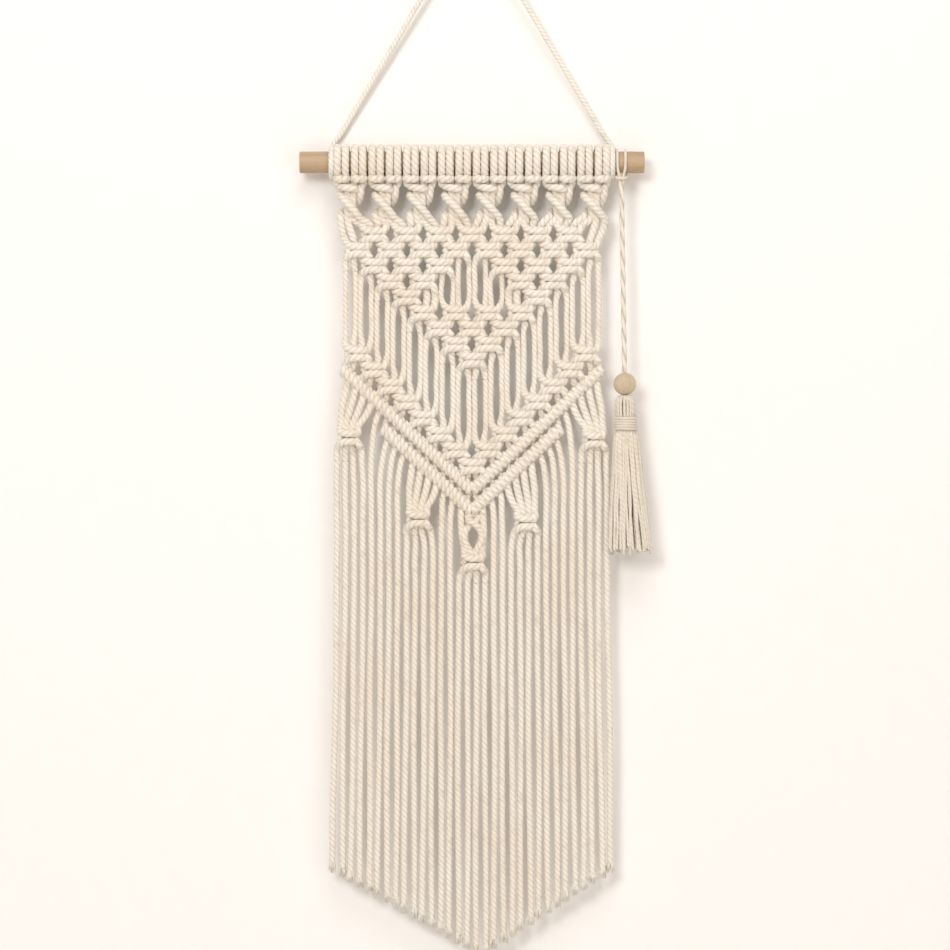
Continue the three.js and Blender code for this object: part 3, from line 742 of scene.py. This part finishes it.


# groove sets how much shade is painted into the grooves between plies
def cotton(name, light, shade, warm, yarns=8.0, slant=900.0, groove=0.45, bump=0.35):
    if name in bpy.data.materials:
        return bpy.data.materials[name]
    group = bpy.data.node_groups.get("twisted_cotton") or cotton_group()
    material, n, shader = new_material(name)
    effect = n.new("ShaderNodeGroup", node_tree=group)
    for label, value in (("Light", (*light, 1)), ("Shade", (*shade, 1)), ("Warm", (*warm, 1)),
                         ("Yarns", yarns), ("Slant", slant), ("Groove Shade", groove)):
        effect.inputs[label].default_value = value
    take_finish(n, shader, effect, bump, distance=0.0004, specular=0.15)
    shader.inputs["Sheen Weight"].default_value = 0.25
    shader.inputs["Sheen Roughness"].default_value = 0.6
    return material


def wood(name, pale, dark, scale, centre=(0, 0, 0), streak=0.5):
    if name in bpy.data.materials:
        return bpy.data.materials[name]
    group = bpy.data.node_groups.get("sanded_wood") or wood_group()
    material, n, shader = new_material(name)
    place = n.new("ShaderNodeTexCoord")
    mapping = n.new("ShaderNodeMapping",
                    {"Vector": place.outputs["Object"], "Location": centre, "Scale": scale},
                    vector_type="POINT")
    effect = n.new("ShaderNodeGroup", node_tree=group)
    n.feed(effect.inputs["Vector"], mapping.outputs[0])
    effect.inputs["Pale"].default_value = (*pale, 1)
    effect.inputs["Dark"].default_value = (*dark, 1)
    effect.inputs["Streak"].default_value = streak
    take_finish(n, shader, effect, bump=0.3, distance=0.0003, specular=0.35)
    return material


def rope_cotton(scene):
    colours = scene.hanging_colours
    return cotton("rope_cotton", colours.cotton_light, colours.cotton_shade, colours.cotton_warm)


def tassel_cotton(scene):
    colours = scene.hanging_colours
    # the tassel's grooves get a stronger painted shade
    return cotton("tassel_yarn", colours.tassel_light, colours.cotton_shade, colours.cotton_warm,
                  yarns=4.0, slant=2200.0, groove=0.8)


def cord_cotton(scene):
    colours = scene.hanging_colours
    return cotton("cord_cotton", colours.cord_light, colours.cotton_shade, colours.cord_light, yarns=6.0,
                  slant=1200.0)


def settle(piece, body, slot, *nodes):
    """Rides on a body and stands for CAD nodes, which it hides. The slot is not used."""
    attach(piece, body)
    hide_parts(*nodes)
    return piece


# ------------------------------------------------------------------ settings

class HangingRope(PropertyGroup):
    diameter: FloatProperty(name="Rope diameter", description="Thickness of the knotting rope", default=0.006,
                            unit="LENGTH", subtype="DISTANCE")
    lay_length: FloatProperty(name="Lay length", description="Length of one turn of the rope's twist",
                              default=0.0145, unit="LENGTH", subtype="DISTANCE")
    ply_depth: FloatProperty(name="Ply depth", description="Depth of the grooves, as a share of the radius",
                             default=0.125, subtype="FACTOR", min=0, max=0.5)
    ring_step: FloatProperty(name="Ring step", description="Distance between the rings of the rope's mesh",
                             default=0.0014, unit="LENGTH", subtype="DISTANCE")
    section_sides: IntProperty(name="Section sides", description="Corners of the rope's section", default=12)
    hanger_diameter: FloatProperty(name="Hanging cord", description="Thickness of the hanging cord",
                                   default=0.005, unit="LENGTH", subtype="DISTANCE")


class HangingTassel(PropertyGroup):
    string_length: FloatProperty(name="String length", description="From the loop to the tassel's head",
                                 default=0.187, unit="LENGTH", subtype="DISTANCE")
    tilt: FloatProperty(name="Tilt", description="Lean of the string to the right",
                        default=math.radians(0.955), subtype="ANGLE")
    cords: IntProperty(name="Cords", description="Cords on the outside of the tassel's skirt", default=32)
    cord_diameter: FloatProperty(name="Cord diameter", description="Thickness of the tassel's fine cords",
                                 default=0.0029, unit="LENGTH", subtype="DISTANCE")
    whipping_turns: IntProperty(name="Whipping turns", description="Turns of cord round the neck", default=5)


class HangingColours(PropertyGroup):
    cotton_light: FloatVectorProperty(name="Cotton", description="Cotton where it is palest",
                                      default=(0.895, 0.87, 0.815), subtype="COLOR")
    cotton_warm: FloatVectorProperty(name="Warm cotton", description="Cotton in its warmer patches",
                                     default=(0.85, 0.785, 0.68), subtype="COLOR")
    # cotton_shade: painted shade in the grooves between plies and between yarns, and the colour of the darker
    # flecks
    cotton_shade: FloatVectorProperty(name="Painted shade and flecks", description="Painted shade in the grooves, and darker flecks",
                                      default=(0.46, 0.355, 0.25), subtype="COLOR")
    cord_light: FloatVectorProperty(name="Hanging cord", description="The paler cotton of the hanging cord",
                                    default=(0.90, 0.88, 0.83), subtype="COLOR")
    dowel_pale: FloatVectorProperty(name="Dowel", description="Pale wood of the dowel",
                                    default=(0.50, 0.365, 0.235), subtype="COLOR")
    dowel_dark: FloatVectorProperty(name="Dowel grain", description="Grain of the dowel",
                                    default=(0.36, 0.245, 0.145), subtype="COLOR")
    bead_pale: FloatVectorProperty(name="Bead", description="Pale wood of the bead",
                                   default=(0.665, 0.56, 0.41), subtype="COLOR")
    tassel_light: FloatVectorProperty(name="Tassel", description="Cotton of the tassel where it is palest",
                                      default=(0.82, 0.785, 0.71), subtype="COLOR")
    wall: FloatVectorProperty(name="Wall", description="Backdrop wall", default=(0.90, 0.885, 0.875),
                              subtype="COLOR")


class HangingStage(PropertyGroup):
    view_width: FloatProperty(name="View width", description="Width that the camera sees at the hanging",
                              default=0.8398, unit="LENGTH", subtype="DISTANCE")
    distance: FloatProperty(name="Camera distance", description="From the hanging to the camera", default=3.6,
                            unit="LENGTH", subtype="DISTANCE")
    centre_x: FloatProperty(name="View centre across", description="Middle of the view, across",
                            default=0.0027, unit="LENGTH", subtype="DISTANCE")
    centre_drop: FloatProperty(name="View centre drop", description="Middle of the view, below the dowel",
                               default=0.2767, unit="LENGTH", subtype="DISTANCE")
    wall_gap: FloatProperty(name="Wall", description="Distance of the wall behind the dowel's axis",
                            default=0.0185, unit="LENGTH", subtype="DISTANCE")


# ------------------------------------------------------------------ operators: one for each group of pieces

class MACRAME_OT_stage(Operator):
    """Camera, soft lights, pale wall and pale floor"""
    bl_idname = "macrame.stage"
    bl_label = "Stage"

    def execute(self, context):
        stage = context.scene.hanging_stage
        target = Vector((stage.centre_x, PLANE_Y * MM, DOWEL_AXIS_Z - stage.centre_drop))
        camera_data = bpy.data.cameras.new("camera")
        camera_data.sensor_width = 36
        camera_data.lens = camera_data.sensor_width * stage.distance / stage.view_width
        camera_data.dof.use_dof = False
        camera = bpy.data.objects.new("camera", camera_data)
        camera.location = target - Vector((0, stage.distance, 0))
        camera.rotation_euler = (math.pi / 2, 0, 0)
        context.scene.collection.objects.link(camera)
        context.scene.camera = camera
        self.light("key", (-1.3, -3.9, 1.5), target, 1.5, 78)
        self.light("fill", (2.2, -3.8, -0.2), target, 2.6, 27)
        self.light("top", (0.2, -1.6, 2.0), target, 1.6, 22)
        self.light("back", (0.5, 2.2, 0.3), target, 1.6, 8)
        world = bpy.data.worlds.new("studio")
        world.use_nodes = True
        world.node_tree.nodes["Background"].inputs["Color"].default_value = (1.0, 0.83, 0.64, 1)
        world.node_tree.nodes["Background"].inputs["Strength"].default_value = 0.36
        context.scene.world = world
        context.scene.view_settings.view_transform = "Standard"
        colour = context.scene.hanging_colours.wall
        self.sheet("wall", colour, 3.0, Vector((0, stage.wall_gap, target.z)), (math.pi / 2, 0, 0))
        self.sheet("floor", colour, 6.0, Vector((0, -1.2, CAD_BOX[0][2] - 0.6)), (0, 0, 0))
        return {"FINISHED"}

    def light(self, name, place, target, size, power):
        data = bpy.data.lights.new(name, "AREA")
        data.shape = "DISK"
        data.size = size
        data.energy = power
        lamp = bpy.data.objects.new(name, data)
        lamp.location = Vector(place) + Vector((0, 0, target.z))
        lamp.rotation_euler = (target - lamp.location).to_track_quat("-Z", "Y").to_euler()
        bpy.context.scene.collection.objects.link(lamp)

    def sheet(self, name, colour, size, place, turn):
        """A flat square that is seen only from its front, so that other views see past it."""
        half = size / 2
        mesh = bpy.data.meshes.new(name)
        corners = [(-half, -half, 0), (half, -half, 0), (half, half, 0), (-half, half, 0)]
        mesh.from_pydata(corners, [], [(0, 1, 2, 3)])
        plane = bpy.data.objects.new(name, mesh)
        plane.location = place
        plane.rotation_euler = turn
        plane.visible_shadow = False
        material, n, shader = new_material(f"{name}_paint")
        grain = n.new("ShaderNodeTexNoise", {"Scale": 60.0, "Detail": 3.0})
        n.feed(grain.inputs["Vector"], n.new("ShaderNodeTexCoord").outputs["Object"])
        light = tuple(min(1, 1.01 * c) for c in colour)
        dark = tuple(0.985 * c for c in colour)
        n.feed(shader.inputs["Base Color"], n.mix(grain.outputs["Fac"], (*light, 1), (*dark, 1)))
        shader.inputs["Roughness"].default_value = 0.95
        shader.inputs["Specular IOR Level"].default_value = 0.1
        clear = n.new("ShaderNodeBsdfTransparent")
        either = n.new("ShaderNodeMixShader")
        n.feed(either.inputs[0], n.new("ShaderNodeNewGeometry").outputs["Backfacing"])
        n.tree.links.new(shader.outputs[0], either.inputs[1])
        n.tree.links.new(clear.outputs[0], either.inputs[2])
        n.tree.links.new(either.outputs[0], n.tree.nodes["Material Output"].inputs["Surface"])
        mesh.materials.append(material)
        bpy.context.scene.collection.objects.link(plane)


def turned_surface(profile, sides):
    """A profile of (radius, height) turned round the height axis: grid[i, j] is profile i at angle j."""
    angle = np.arange(sides) * 2 * math.pi / sides
    radius, height = np.asarray(profile, float).T
    return np.stack([radius[:, None] * np.cos(angle), radius[:, None] * np.sin(angle),
                     height[:, None] * np.ones(sides)], -1)


class MACRAME_OT_dowel(Operator):
    """Turned wooden dowel with softened edges"""
    bl_idname = "macrame.dowel"
    bl_label = "Dowel"

    EDGE = 0.9           # radius of the eased edges

    def execute(self, context):
        colours = context.scene.hanging_colours
        half, radius, edge = DOWEL_HALF_LENGTH, DOWEL_RADIUS, self.EDGE
        arc = np.linspace(0, math.pi / 2, 7)
        end = np.column_stack([radius - edge + edge * np.sin(arc), half - edge + edge * np.cos(arc)])
        face = np.array([(r, half) for r in (0.4, 3.0, 6.0)])
        start = np.vstack([face, end]) * (1, -1)
        reach = half - edge - 0.5
        barrel = np.column_stack([np.full(40, radius), np.linspace(-reach, reach, 40)])
        profile = np.vstack([start, barrel, (np.vstack([face, end]))[::-1]])
        grid = turned_surface(profile, 72)
        rings = hung(np.stack([grid[..., 2], grid[..., 0], grid[..., 1]], -1))
        run = np.concatenate([[0], np.cumsum(np.linalg.norm(np.diff(profile, axis=0), axis=1))]) * MM
        surface = Surface()
        surface.tube(rings, run)
        material = wood("dowel_grain", colours.dowel_pale, colours.dowel_dark, (9.0, 190.0, 190.0))
        settle(surface.object("dowel_rod", material), "dowel", "dowel_wood", "dowel")
        return {"FINISHED"}


class MACRAME_OT_hanging_cord(Operator):
    """The cord that the hanging hangs from, wrapped once round the dowel at each end"""
    bl_idname = "macrame.hanging_cord"
    bl_label = "Hanging cord"

    APEX = 11.0          # radius of the bend over the hook
    WRAP_GAP = 0.9       # from the dowel to the cord wrapped round it

    def execute(self, context):
        rope = context.scene.hanging_rope
        radius = rope.hanger_diameter / MM / 2
        wrap_x = (ROPES - 1) / 2 * LARK_PITCH + LARK_HALF_WIDTH + GAP + radius
        drop = -DOWEL_AXIS_Z / MM
        apex = self.APEX
        turn = DOWEL_RADIUS + self.WRAP_GAP + radius
        wrap = [(wrap_x, turn * math.cos(a), turn * math.sin(a))
                for a in np.radians((-300, -270, -240, -210, -180, -150, -120, -90, -60, -30, 0))]
        clear = DOWEL_RADIUS + GAP + LARK_DEPTH + GAP + radius
        foot = np.array((wrap_x, 0.76 * clear, 0.68 * clear))
        lean = math.atan2(foot[0], drop - foot[2])
        top = drop + radius - apex
        shoulder = np.array((apex * math.cos(lean), 0, top + apex * math.sin(lean)))
        along = [tuple(foot + (shoulder - foot) * t) for t in (0.08, 0.3, 0.6, 0.9)]
        half = wrap + [(wrap_x, turn + 0.4, 0.35 * foot[2]), tuple(foot)] + along + [
            tuple(shoulder), (0.5 * apex * math.cos(lean), 0, top + 0.9 * apex)]
        control = [(-x, y, z) for x, y, z in half] + [(0, 0, top + apex)] + half[::-1]
        surface = Surface()
        line = rope_tube(surface, control, radius, rope, spacing=1.3, lay=12.0)
        cord = settle(surface.object("hanging_rope", cord_cotton(context.scene)), "hanger", "hanging_cord",
                      "hanging_cord")
        return {"FINISHED"}


class MACRAME_OT_spirals(Operator):
    """Lark's heads on the dowel and the spirals of half knots below them"""
    bl_idname = "macrame.spirals"
    bl_label = "Lark's heads and spirals"

    def execute(self, context):
        for number in range(1, ROPES // 2 + 1):
            name = f"spiral_cord_{number}"
            surface = rope_piece(context.scene, name)
            spiral = surface.object(f"spiral_rope_{number}", rope_cotton(context.scene))
            settle(spiral, "panel", "cotton_rope", name)
        return {"FINISHED"}


class MACRAME_OT_net(Operator):
    """Net of alternating square knots with its open diamond, and the chevron of square knots"""
    bl_idname = "macrame.net"
    bl_label = "Knotted net and chevron"

    def execute(self, context):
        for name in ("knot_net", "chevron_left", "chevron_point", "chevron_right"):
            surface = rope_piece(context.scene, name)
            settle(surface.object(f"{name}_rope", rope_cotton(context.scene)), "panel", "cotton_rope", name)
        return {"FINISHED"}


class MACRAME_OT_bars(Operator):
    """Diagonal bars of double half hitches over a filler rope"""
    bl_idname = "macrame.bars"
    bl_label = "Diagonal bars"

    def execute(self, context):
        rope = context.scene.hanging_rope
        levels = (("upper", UPPER_POINT, UPPER_OUTER_X), ("lower", LOWER_POINT, LOWER_OUTER_X))
        for level, point_z, outer_x in levels:
            for side, sign in (("left", -1), ("right", 1)):
                name = f"hitch_bar_{level}_{side}"
                surface = rope_piece(context.scene, name)
                filler = [(sign * x, PLANE_Y, point_z + BAR_SLOPE * x) for x in (outer_x - 1, outer_x / 2, 0)]
                rope_tube(surface, filler, BAR_RADIUS, rope, spacing=2.0)
                bar = surface.object(f"{name}_rope", rope_cotton(context.scene))
                settle(bar, "panel", "cotton_rope", name)
        return {"FINISHED"}


class MACRAME_OT_decorative(Operator):
    """Five decorative square knots below the bars"""
    bl_idname = "macrame.decorative"
    bl_label = "Decorative knots"

    def execute(self, context):
        for number in range(1, len(DECORATIVE) + 1):
            name = f"decorative_knot_{number}"
            surface = rope_piece(context.scene, name)
            settle(surface.object(f"{name}_rope", rope_cotton(context.scene)), "panel", "cotton_rope", name)
        return {"FINISHED"}


class MACRAME_OT_fringe(Operator):
    """Thirty-two free strands cut to a point, with brushed ends"""
    bl_idname = "macrame.fringe"
    bl_label = "Fringe"

    ROOT = 1.5           # how far up inside the strand a brushed fibre starts

    def execute(self, context):
        scene = context.scene
        rope = scene.hanging_rope
        shares, lines = shared_ropes(scene)
        ends = []
        for number in range(1, STRANDS + 1):
            name = f"fringe_cord_{number:02d}"
            surface = rope_piece(scene, name)
            cord = surface.object(f"fringe_strand_{number:02d}", rope_cotton(scene))
            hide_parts(name)
            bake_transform(cord)
            line = lines[name]
            ends.append(line[-1] / MM - np.array((0, 0, DOWEL_AXIS_Z / MM)))
        tips = self.tips(np.array(ends), rope.diameter / MM / 2)
        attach(tips, "fringe")
        return {"FINISHED"}

    def tips(self, ends, radius, fibres=56):
        """Short fibres at each cut end, which spread as 1 + (flare - 1) * t**1.5 and fall evenly with t."""
        draw = np.random.default_rng(11)
        count = len(ends) * fibres
        home = np.repeat(ends, fibres, axis=0)
        angle = draw.uniform(0, 2 * math.pi, count)
        inside = radius * 0.85 * np.sqrt(draw.uniform(0, 1, count))
        flare = draw.uniform(0.9, 1.9, count)
        length = draw.uniform(3.0, 8.5, count)
        t = np.array((0.0, 0.45, 1.0))
        spread = inside[:, None] * (1 + (flare[:, None] - 1) * t**1.5)
        bend = draw.normal(0, 0.6, (count, 2, 1)) * t**2
        x = home[:, :1] + spread * np.cos(angle)[:, None] + bend[:, 0]
        y = home[:, 1:2] + spread * np.sin(angle)[:, None] + bend[:, 1]
        z = home[:, 2:] + self.ROOT - (length[:, None] + self.ROOT) * t
        thick = np.array((0.58, 0.54, 0.3))
        corner = np.arange(5) * 2 * math.pi / 5
        rings = np.stack([x[..., None] + thick[:, None] * np.cos(corner),
                          y[..., None] + thick[:, None] * np.sin(corner),
                          z[..., None] * np.ones(len(corner))], -1)
        surface = Surface()
        steps = t * 6 * MM
        for fibre in hung(rings):
            surface.tube(fibre, steps, tone=0.0)
        return surface.object("fringe_tips", rope_cotton(bpy.context.scene), flip=True)


def tassel_axis(points, tilt):
    """Points round the string's own axis, leaned to the right and moved to the swing's pivot, in metres."""
    x, y, z = np.moveaxis(np.asarray(points, float) * MM, -1, 0)
    turned = np.stack([x * math.cos(tilt) - z * math.sin(tilt), y,
                       x * math.sin(tilt) + z * math.cos(tilt)], -1)
    return turned + np.array(TASSEL_PIVOT)


def leaned(points, tilt):
    """The same points in millimetres from the dowel's axis, as rope_tube takes them."""
    return (np.asarray(tassel_axis(points, tilt)) - (0, 0, DOWEL_AXIS_Z)) / MM


class MACRAME_OT_tassel(Operator):
    """Tassel: loop on the dowel, doubled string, bead, folded bundle and whipping"""
    bl_idname = "macrame.tassel"
    bl_label = "Tassel"

    HEAD = 18.0          # height of the head above the whipping
    WHIPPING = 14.0
    WHIPPING_RADIUS = 9.45
    SKIRT = 107.0
    NECK_RADIUS, SKIRT_RADIUS = 10.4, 20.2    # across
    NECK_DEPTH, SKIRT_DEPTH = 9.8, 9.2        # front to back
    CORE_RADIUS = 6.2    # of the plain filling inside the neck
    STRING_RADIUS = 2.6
    STRING_INSIDE = 50.0                      # how far the string runs down inside the bundle
    THIN_RADIUS = 1.35   # of the loop's cord and the whipping
    BEAD_RADIUS, BEAD_BORE, BEAD_LIP = 10.0, 3.1, 0.5

    def execute(self, context):
        scene = context.scene
        sizes, rope = scene.hanging_tassel, scene.hanging_rope
        fine = tassel_cotton(scene)
        length = sizes.string_length / MM
        self.loop(rope, fine)
        bead = self.bead(scene, sizes, length)
        bundle = self.bundle(sizes, rope, fine, length)
        self.whipping(sizes, rope, fine, length)
        straight = [(0, 0, 1.5), (0, 0, -length / 2), (0, 0, -length - self.STRING_INSIDE)]
        surface = Surface()
        line = rope_tube(surface, leaned(straight, sizes.tilt), self.STRING_RADIUS, rope, spacing=2.0,
                         plies=2, depth=0.42, lay=34.0)
        string = settle(surface.object("tassel_cord", fine), "tassel", "tassel_cotton", "tassel_string")
        return {"FINISHED"}

    def loop(self, rope, fine):
        """A small lark's head: bar in front below the dowel, two turns over it."""
        middle = (TASSEL_PIVOT.x / MM, 0, 0)
        half = np.array([
            (0, -11.8, -14.9), (2.4, -11.4, -14.9), (4.6, -6.4, -13.4), (4.5, 4, -10.9), (4.2, 10.9, -1.0),
            (4.0, 8.0, 8.0), (3.8, 0, 11.2), (3.6, -8.0, 8.0), (3.6, -11.0, 0), (3.1, -9.6, -7.4),
            (1.7, -8.5, -13.2), (1.35, -9.4, -18.6),
        ])
        left = half * (-1, 1, 1) + middle
        right = half + middle
        surface = Surface()
        rope_tube(surface, np.vstack([left[::-1], right[1:]]), self.THIN_RADIUS, rope, spacing=0.9,
                  sides=9, lay=6.5)
        settle(surface.object("tassel_hitch", fine), "tassel_loop", "tassel_cotton", "tassel_loop")

    def bead(self, scene, sizes, length):
        """A circle's arc, a rounded lip, the bore's wall and a second lip, turned round the string's axis."""
        radius, bore, lip = self.BEAD_RADIUS, self.BEAD_BORE, self.BEAD_LIP
        mouth = math.asin((bore + lip) / radius)
        arc = np.linspace(mouth, math.pi - mouth, 40)
        ball = np.column_stack([radius * np.sin(arc), -radius * np.cos(arc)])
        rise = radius * math.cos(mouth)
        turn = np.linspace(0, math.pi / 2, 5)[1:]
        upper = np.column_stack([bore + lip - lip * np.sin(turn), rise - lip * (1 - np.cos(turn))])
        wall = np.column_stack([np.full(6, bore), np.linspace(rise - 2 * lip, 2 * lip - rise, 6)])
        profile = np.vstack([ball, upper, wall, (upper * (1, -1))[::-1]])
        grid = turned_surface(np.vstack([profile, profile[:1]]), 64)
        cad_bore = 3.16                 # of the CAD bead, from its axis to the bore's corners
        lift = GAP + radius * math.cos(math.asin(cad_bore / radius)) - length
        rings = tassel_axis(grid + (0, 0, lift), sizes.tilt)
        surface = Surface()
        self.closed_ring(surface, rings)
        colours = scene.hanging_colours
        material = wood("bead_grain", colours.bead_pale, colours.dowel_dark, (150.0, 150.0, 22.0),
                        (3.0, 1.0, 0), streak=0.3)
        return settle(surface.object("bead", material), "bead", "bead_wood", "tassel_bead")

    @staticmethod
    def closed_ring(surface, rings):
        """A grid whose last ring is its first again, joined without ends."""
        rings = rings[:-1]
        count, sides = rings.shape[:2]
        ring, side = np.meshgrid(np.arange(count), np.arange(sides), indexing="ij")
        down, after = (ring + 1) % count, (side + 1) % sides
        quads = np.stack([ring * sides + side, ring * sides + after,
                          down * sides + after, down * sides + side], -1)
        low, high = side / sides, (side + 1) / sides
        v0, v1 = ring / count, (ring + 1) / count
        uv = np.stack([np.stack([low, v0], -1), np.stack([high, v0], -1), np.stack([high, v1], -1),
                       np.stack([low, v1], -1)], 2)
        surface.add(rings.reshape(-1, 3), quads.reshape(-1, 4), uv.reshape(-1, 4, 2))

    def bundle(self, sizes, rope, fine, length):
        """Fine cords folded over the string, gathered at the neck and spreading into a flat skirt.

        Each cord lies at its own angle a, at (wide * cos a, deep * sin a). From neck to hem, wide grows as
        down**0.9 and deep shrinks evenly.
        """
        draw = np.random.default_rng(5)
        thick = sizes.cord_diameter / MM / 2
        neck = self.HEAD + self.WHIPPING
        surface = Surface()
        layers = ((sizes.cords // 2 + 2, 1.0, True),
                  (sizes.cords, 0.98, False),
                  (sizes.cords // 2, 0.66, False))
        for layer, (count, share, folded) in enumerate(layers):
            for index in range(count):
                angle = 2 * math.pi * (index + 0.5 * layer) / count + draw.normal(0, 0.03)
                drift = draw.normal(0, 0.10)
                fall = self.SKIRT + draw.normal(0, 2.0) - 2.0
                down = np.linspace(0.04, 1, 6)
                wide = self.NECK_RADIUS + (self.SKIRT_RADIUS - self.NECK_RADIUS) * down**0.9 - thick
                deep = self.NECK_DEPTH + (self.SKIRT_DEPTH - self.NECK_DEPTH) * down - thick
                swing = angle + drift * down
                skirt = np.column_stack([
                    share * wide * np.cos(swing) + 2.6 * down + draw.normal(0, 0.35, 6),
                    share * deep * np.sin(swing) - 3.5 * down + draw.normal(0, 0.25, 6),
                    -neck - fall * down])
                cos, sin = math.cos(angle), math.sin(angle)
                if folded:
                    radii = np.array(((1.6, -1.2), (5.2, -1.5), (7.6, -4.6), (8.3, -10.0),
                                      (7.9, -16.5), (6.9, -21.0), (6.8, -29.0)))
                else:
                    radii = np.array(((5.0 * share, -19.0), (5.6 * share, -29.0)))
                head = np.column_stack([radii[:, 0] * cos, radii[:, 0] * sin, radii[:, 1]])
                control = np.vstack([head, skirt]) + (0, 0, -length)
                rope_tube(surface, leaned(control, sizes.tilt), thick, rope, spacing=1.9, sides=6, plies=2,
                          depth=0.22, lay=9.0, phase=index, tone=0.5 + 0.4 * math.sin(index * 2.1))
        core = np.array([(0, 0, -2.5), (0, 0, -12), (0, 0, -neck), (0.4, -0.6, -neck - 18)]) + (0, 0, -length)
        rope_tube(surface, leaned(core, sizes.tilt), self.CORE_RADIUS, rope, spacing=3.0, sides=18,
                  plies=2, depth=0)
        return settle(surface.object("tassel_cords", fine), "tassel", "tassel_cotton", "tassel_bundle")

    def whipping(self, sizes, rope, fine, length):
        """Thin cord round the neck: radius * (cos a, sin a), with a height that falls evenly with a."""
        turns = sizes.whipping_turns
        steps = np.linspace(0, turns, turns * 16 + 1)
        top = -self.HEAD - 1.0
        fall = self.WHIPPING - 2.6
        radius = self.WHIPPING_RADIUS
        helix = np.column_stack([radius * np.cos(2 * math.pi * steps), radius * np.sin(2 * math.pi * steps),
                                 top - fall * steps / turns]) + (0, 0, -length)
        surface = Surface()
        rope_tube(surface, leaned(helix, sizes.tilt), self.THIN_RADIUS, rope, spacing=1.1, sides=9, lay=6.0)
        settle(surface.object("tassel_binding", fine), "tassel", "tassel_cotton", "tassel_whipping")


class MACRAME_PT_sidebar(Panel):
    """Lists the sizes, the colours and the operators that build the hanging"""
    bl_idname = "MACRAME_PT_sidebar"
    bl_label = "Macrame hanging"
    bl_space_type = "VIEW_3D"
    bl_region_type = "UI"
    bl_category = "Hanging"

    def draw(self, context):
        layout = self.layout
        for label in GROUPS:
            box = layout.box()
            settings = getattr(context.scene, label)
            for name in settings.__annotations__:
                box.prop(settings, name)
        for operator in OPERATORS:
            layout.operator(operator.bl_idname)


GROUPS = {
    "hanging_rope": HangingRope,
    "hanging_tassel": HangingTassel,
    "hanging_colours": HangingColours,
    "hanging_stage": HangingStage,
}
OPERATORS = (MACRAME_OT_stage, MACRAME_OT_hanging_cord, MACRAME_OT_dowel, MACRAME_OT_spirals, MACRAME_OT_net,
             MACRAME_OT_bars, MACRAME_OT_decorative, MACRAME_OT_fringe, MACRAME_OT_tassel)
CLASSES = (*GROUPS.values(), *OPERATORS, MACRAME_PT_sidebar)


def register():
    for cls in CLASSES:
        bpy.utils.register_class(cls)
    for label, group in GROUPS.items():
        setattr(bpy.types.Scene, label, PointerProperty(type=group))


def unregister():
    for label in GROUPS:
        delattr(bpy.types.Scene, label)
    for cls in reversed(CLASSES):
        bpy.utils.unregister_class(cls)


def main():
    register()
    for operator in OPERATORS:
        family, name = operator.bl_idname.split(".")
        getattr(getattr(bpy.ops, family), name)()


if __name__ == "__main__":
    main()
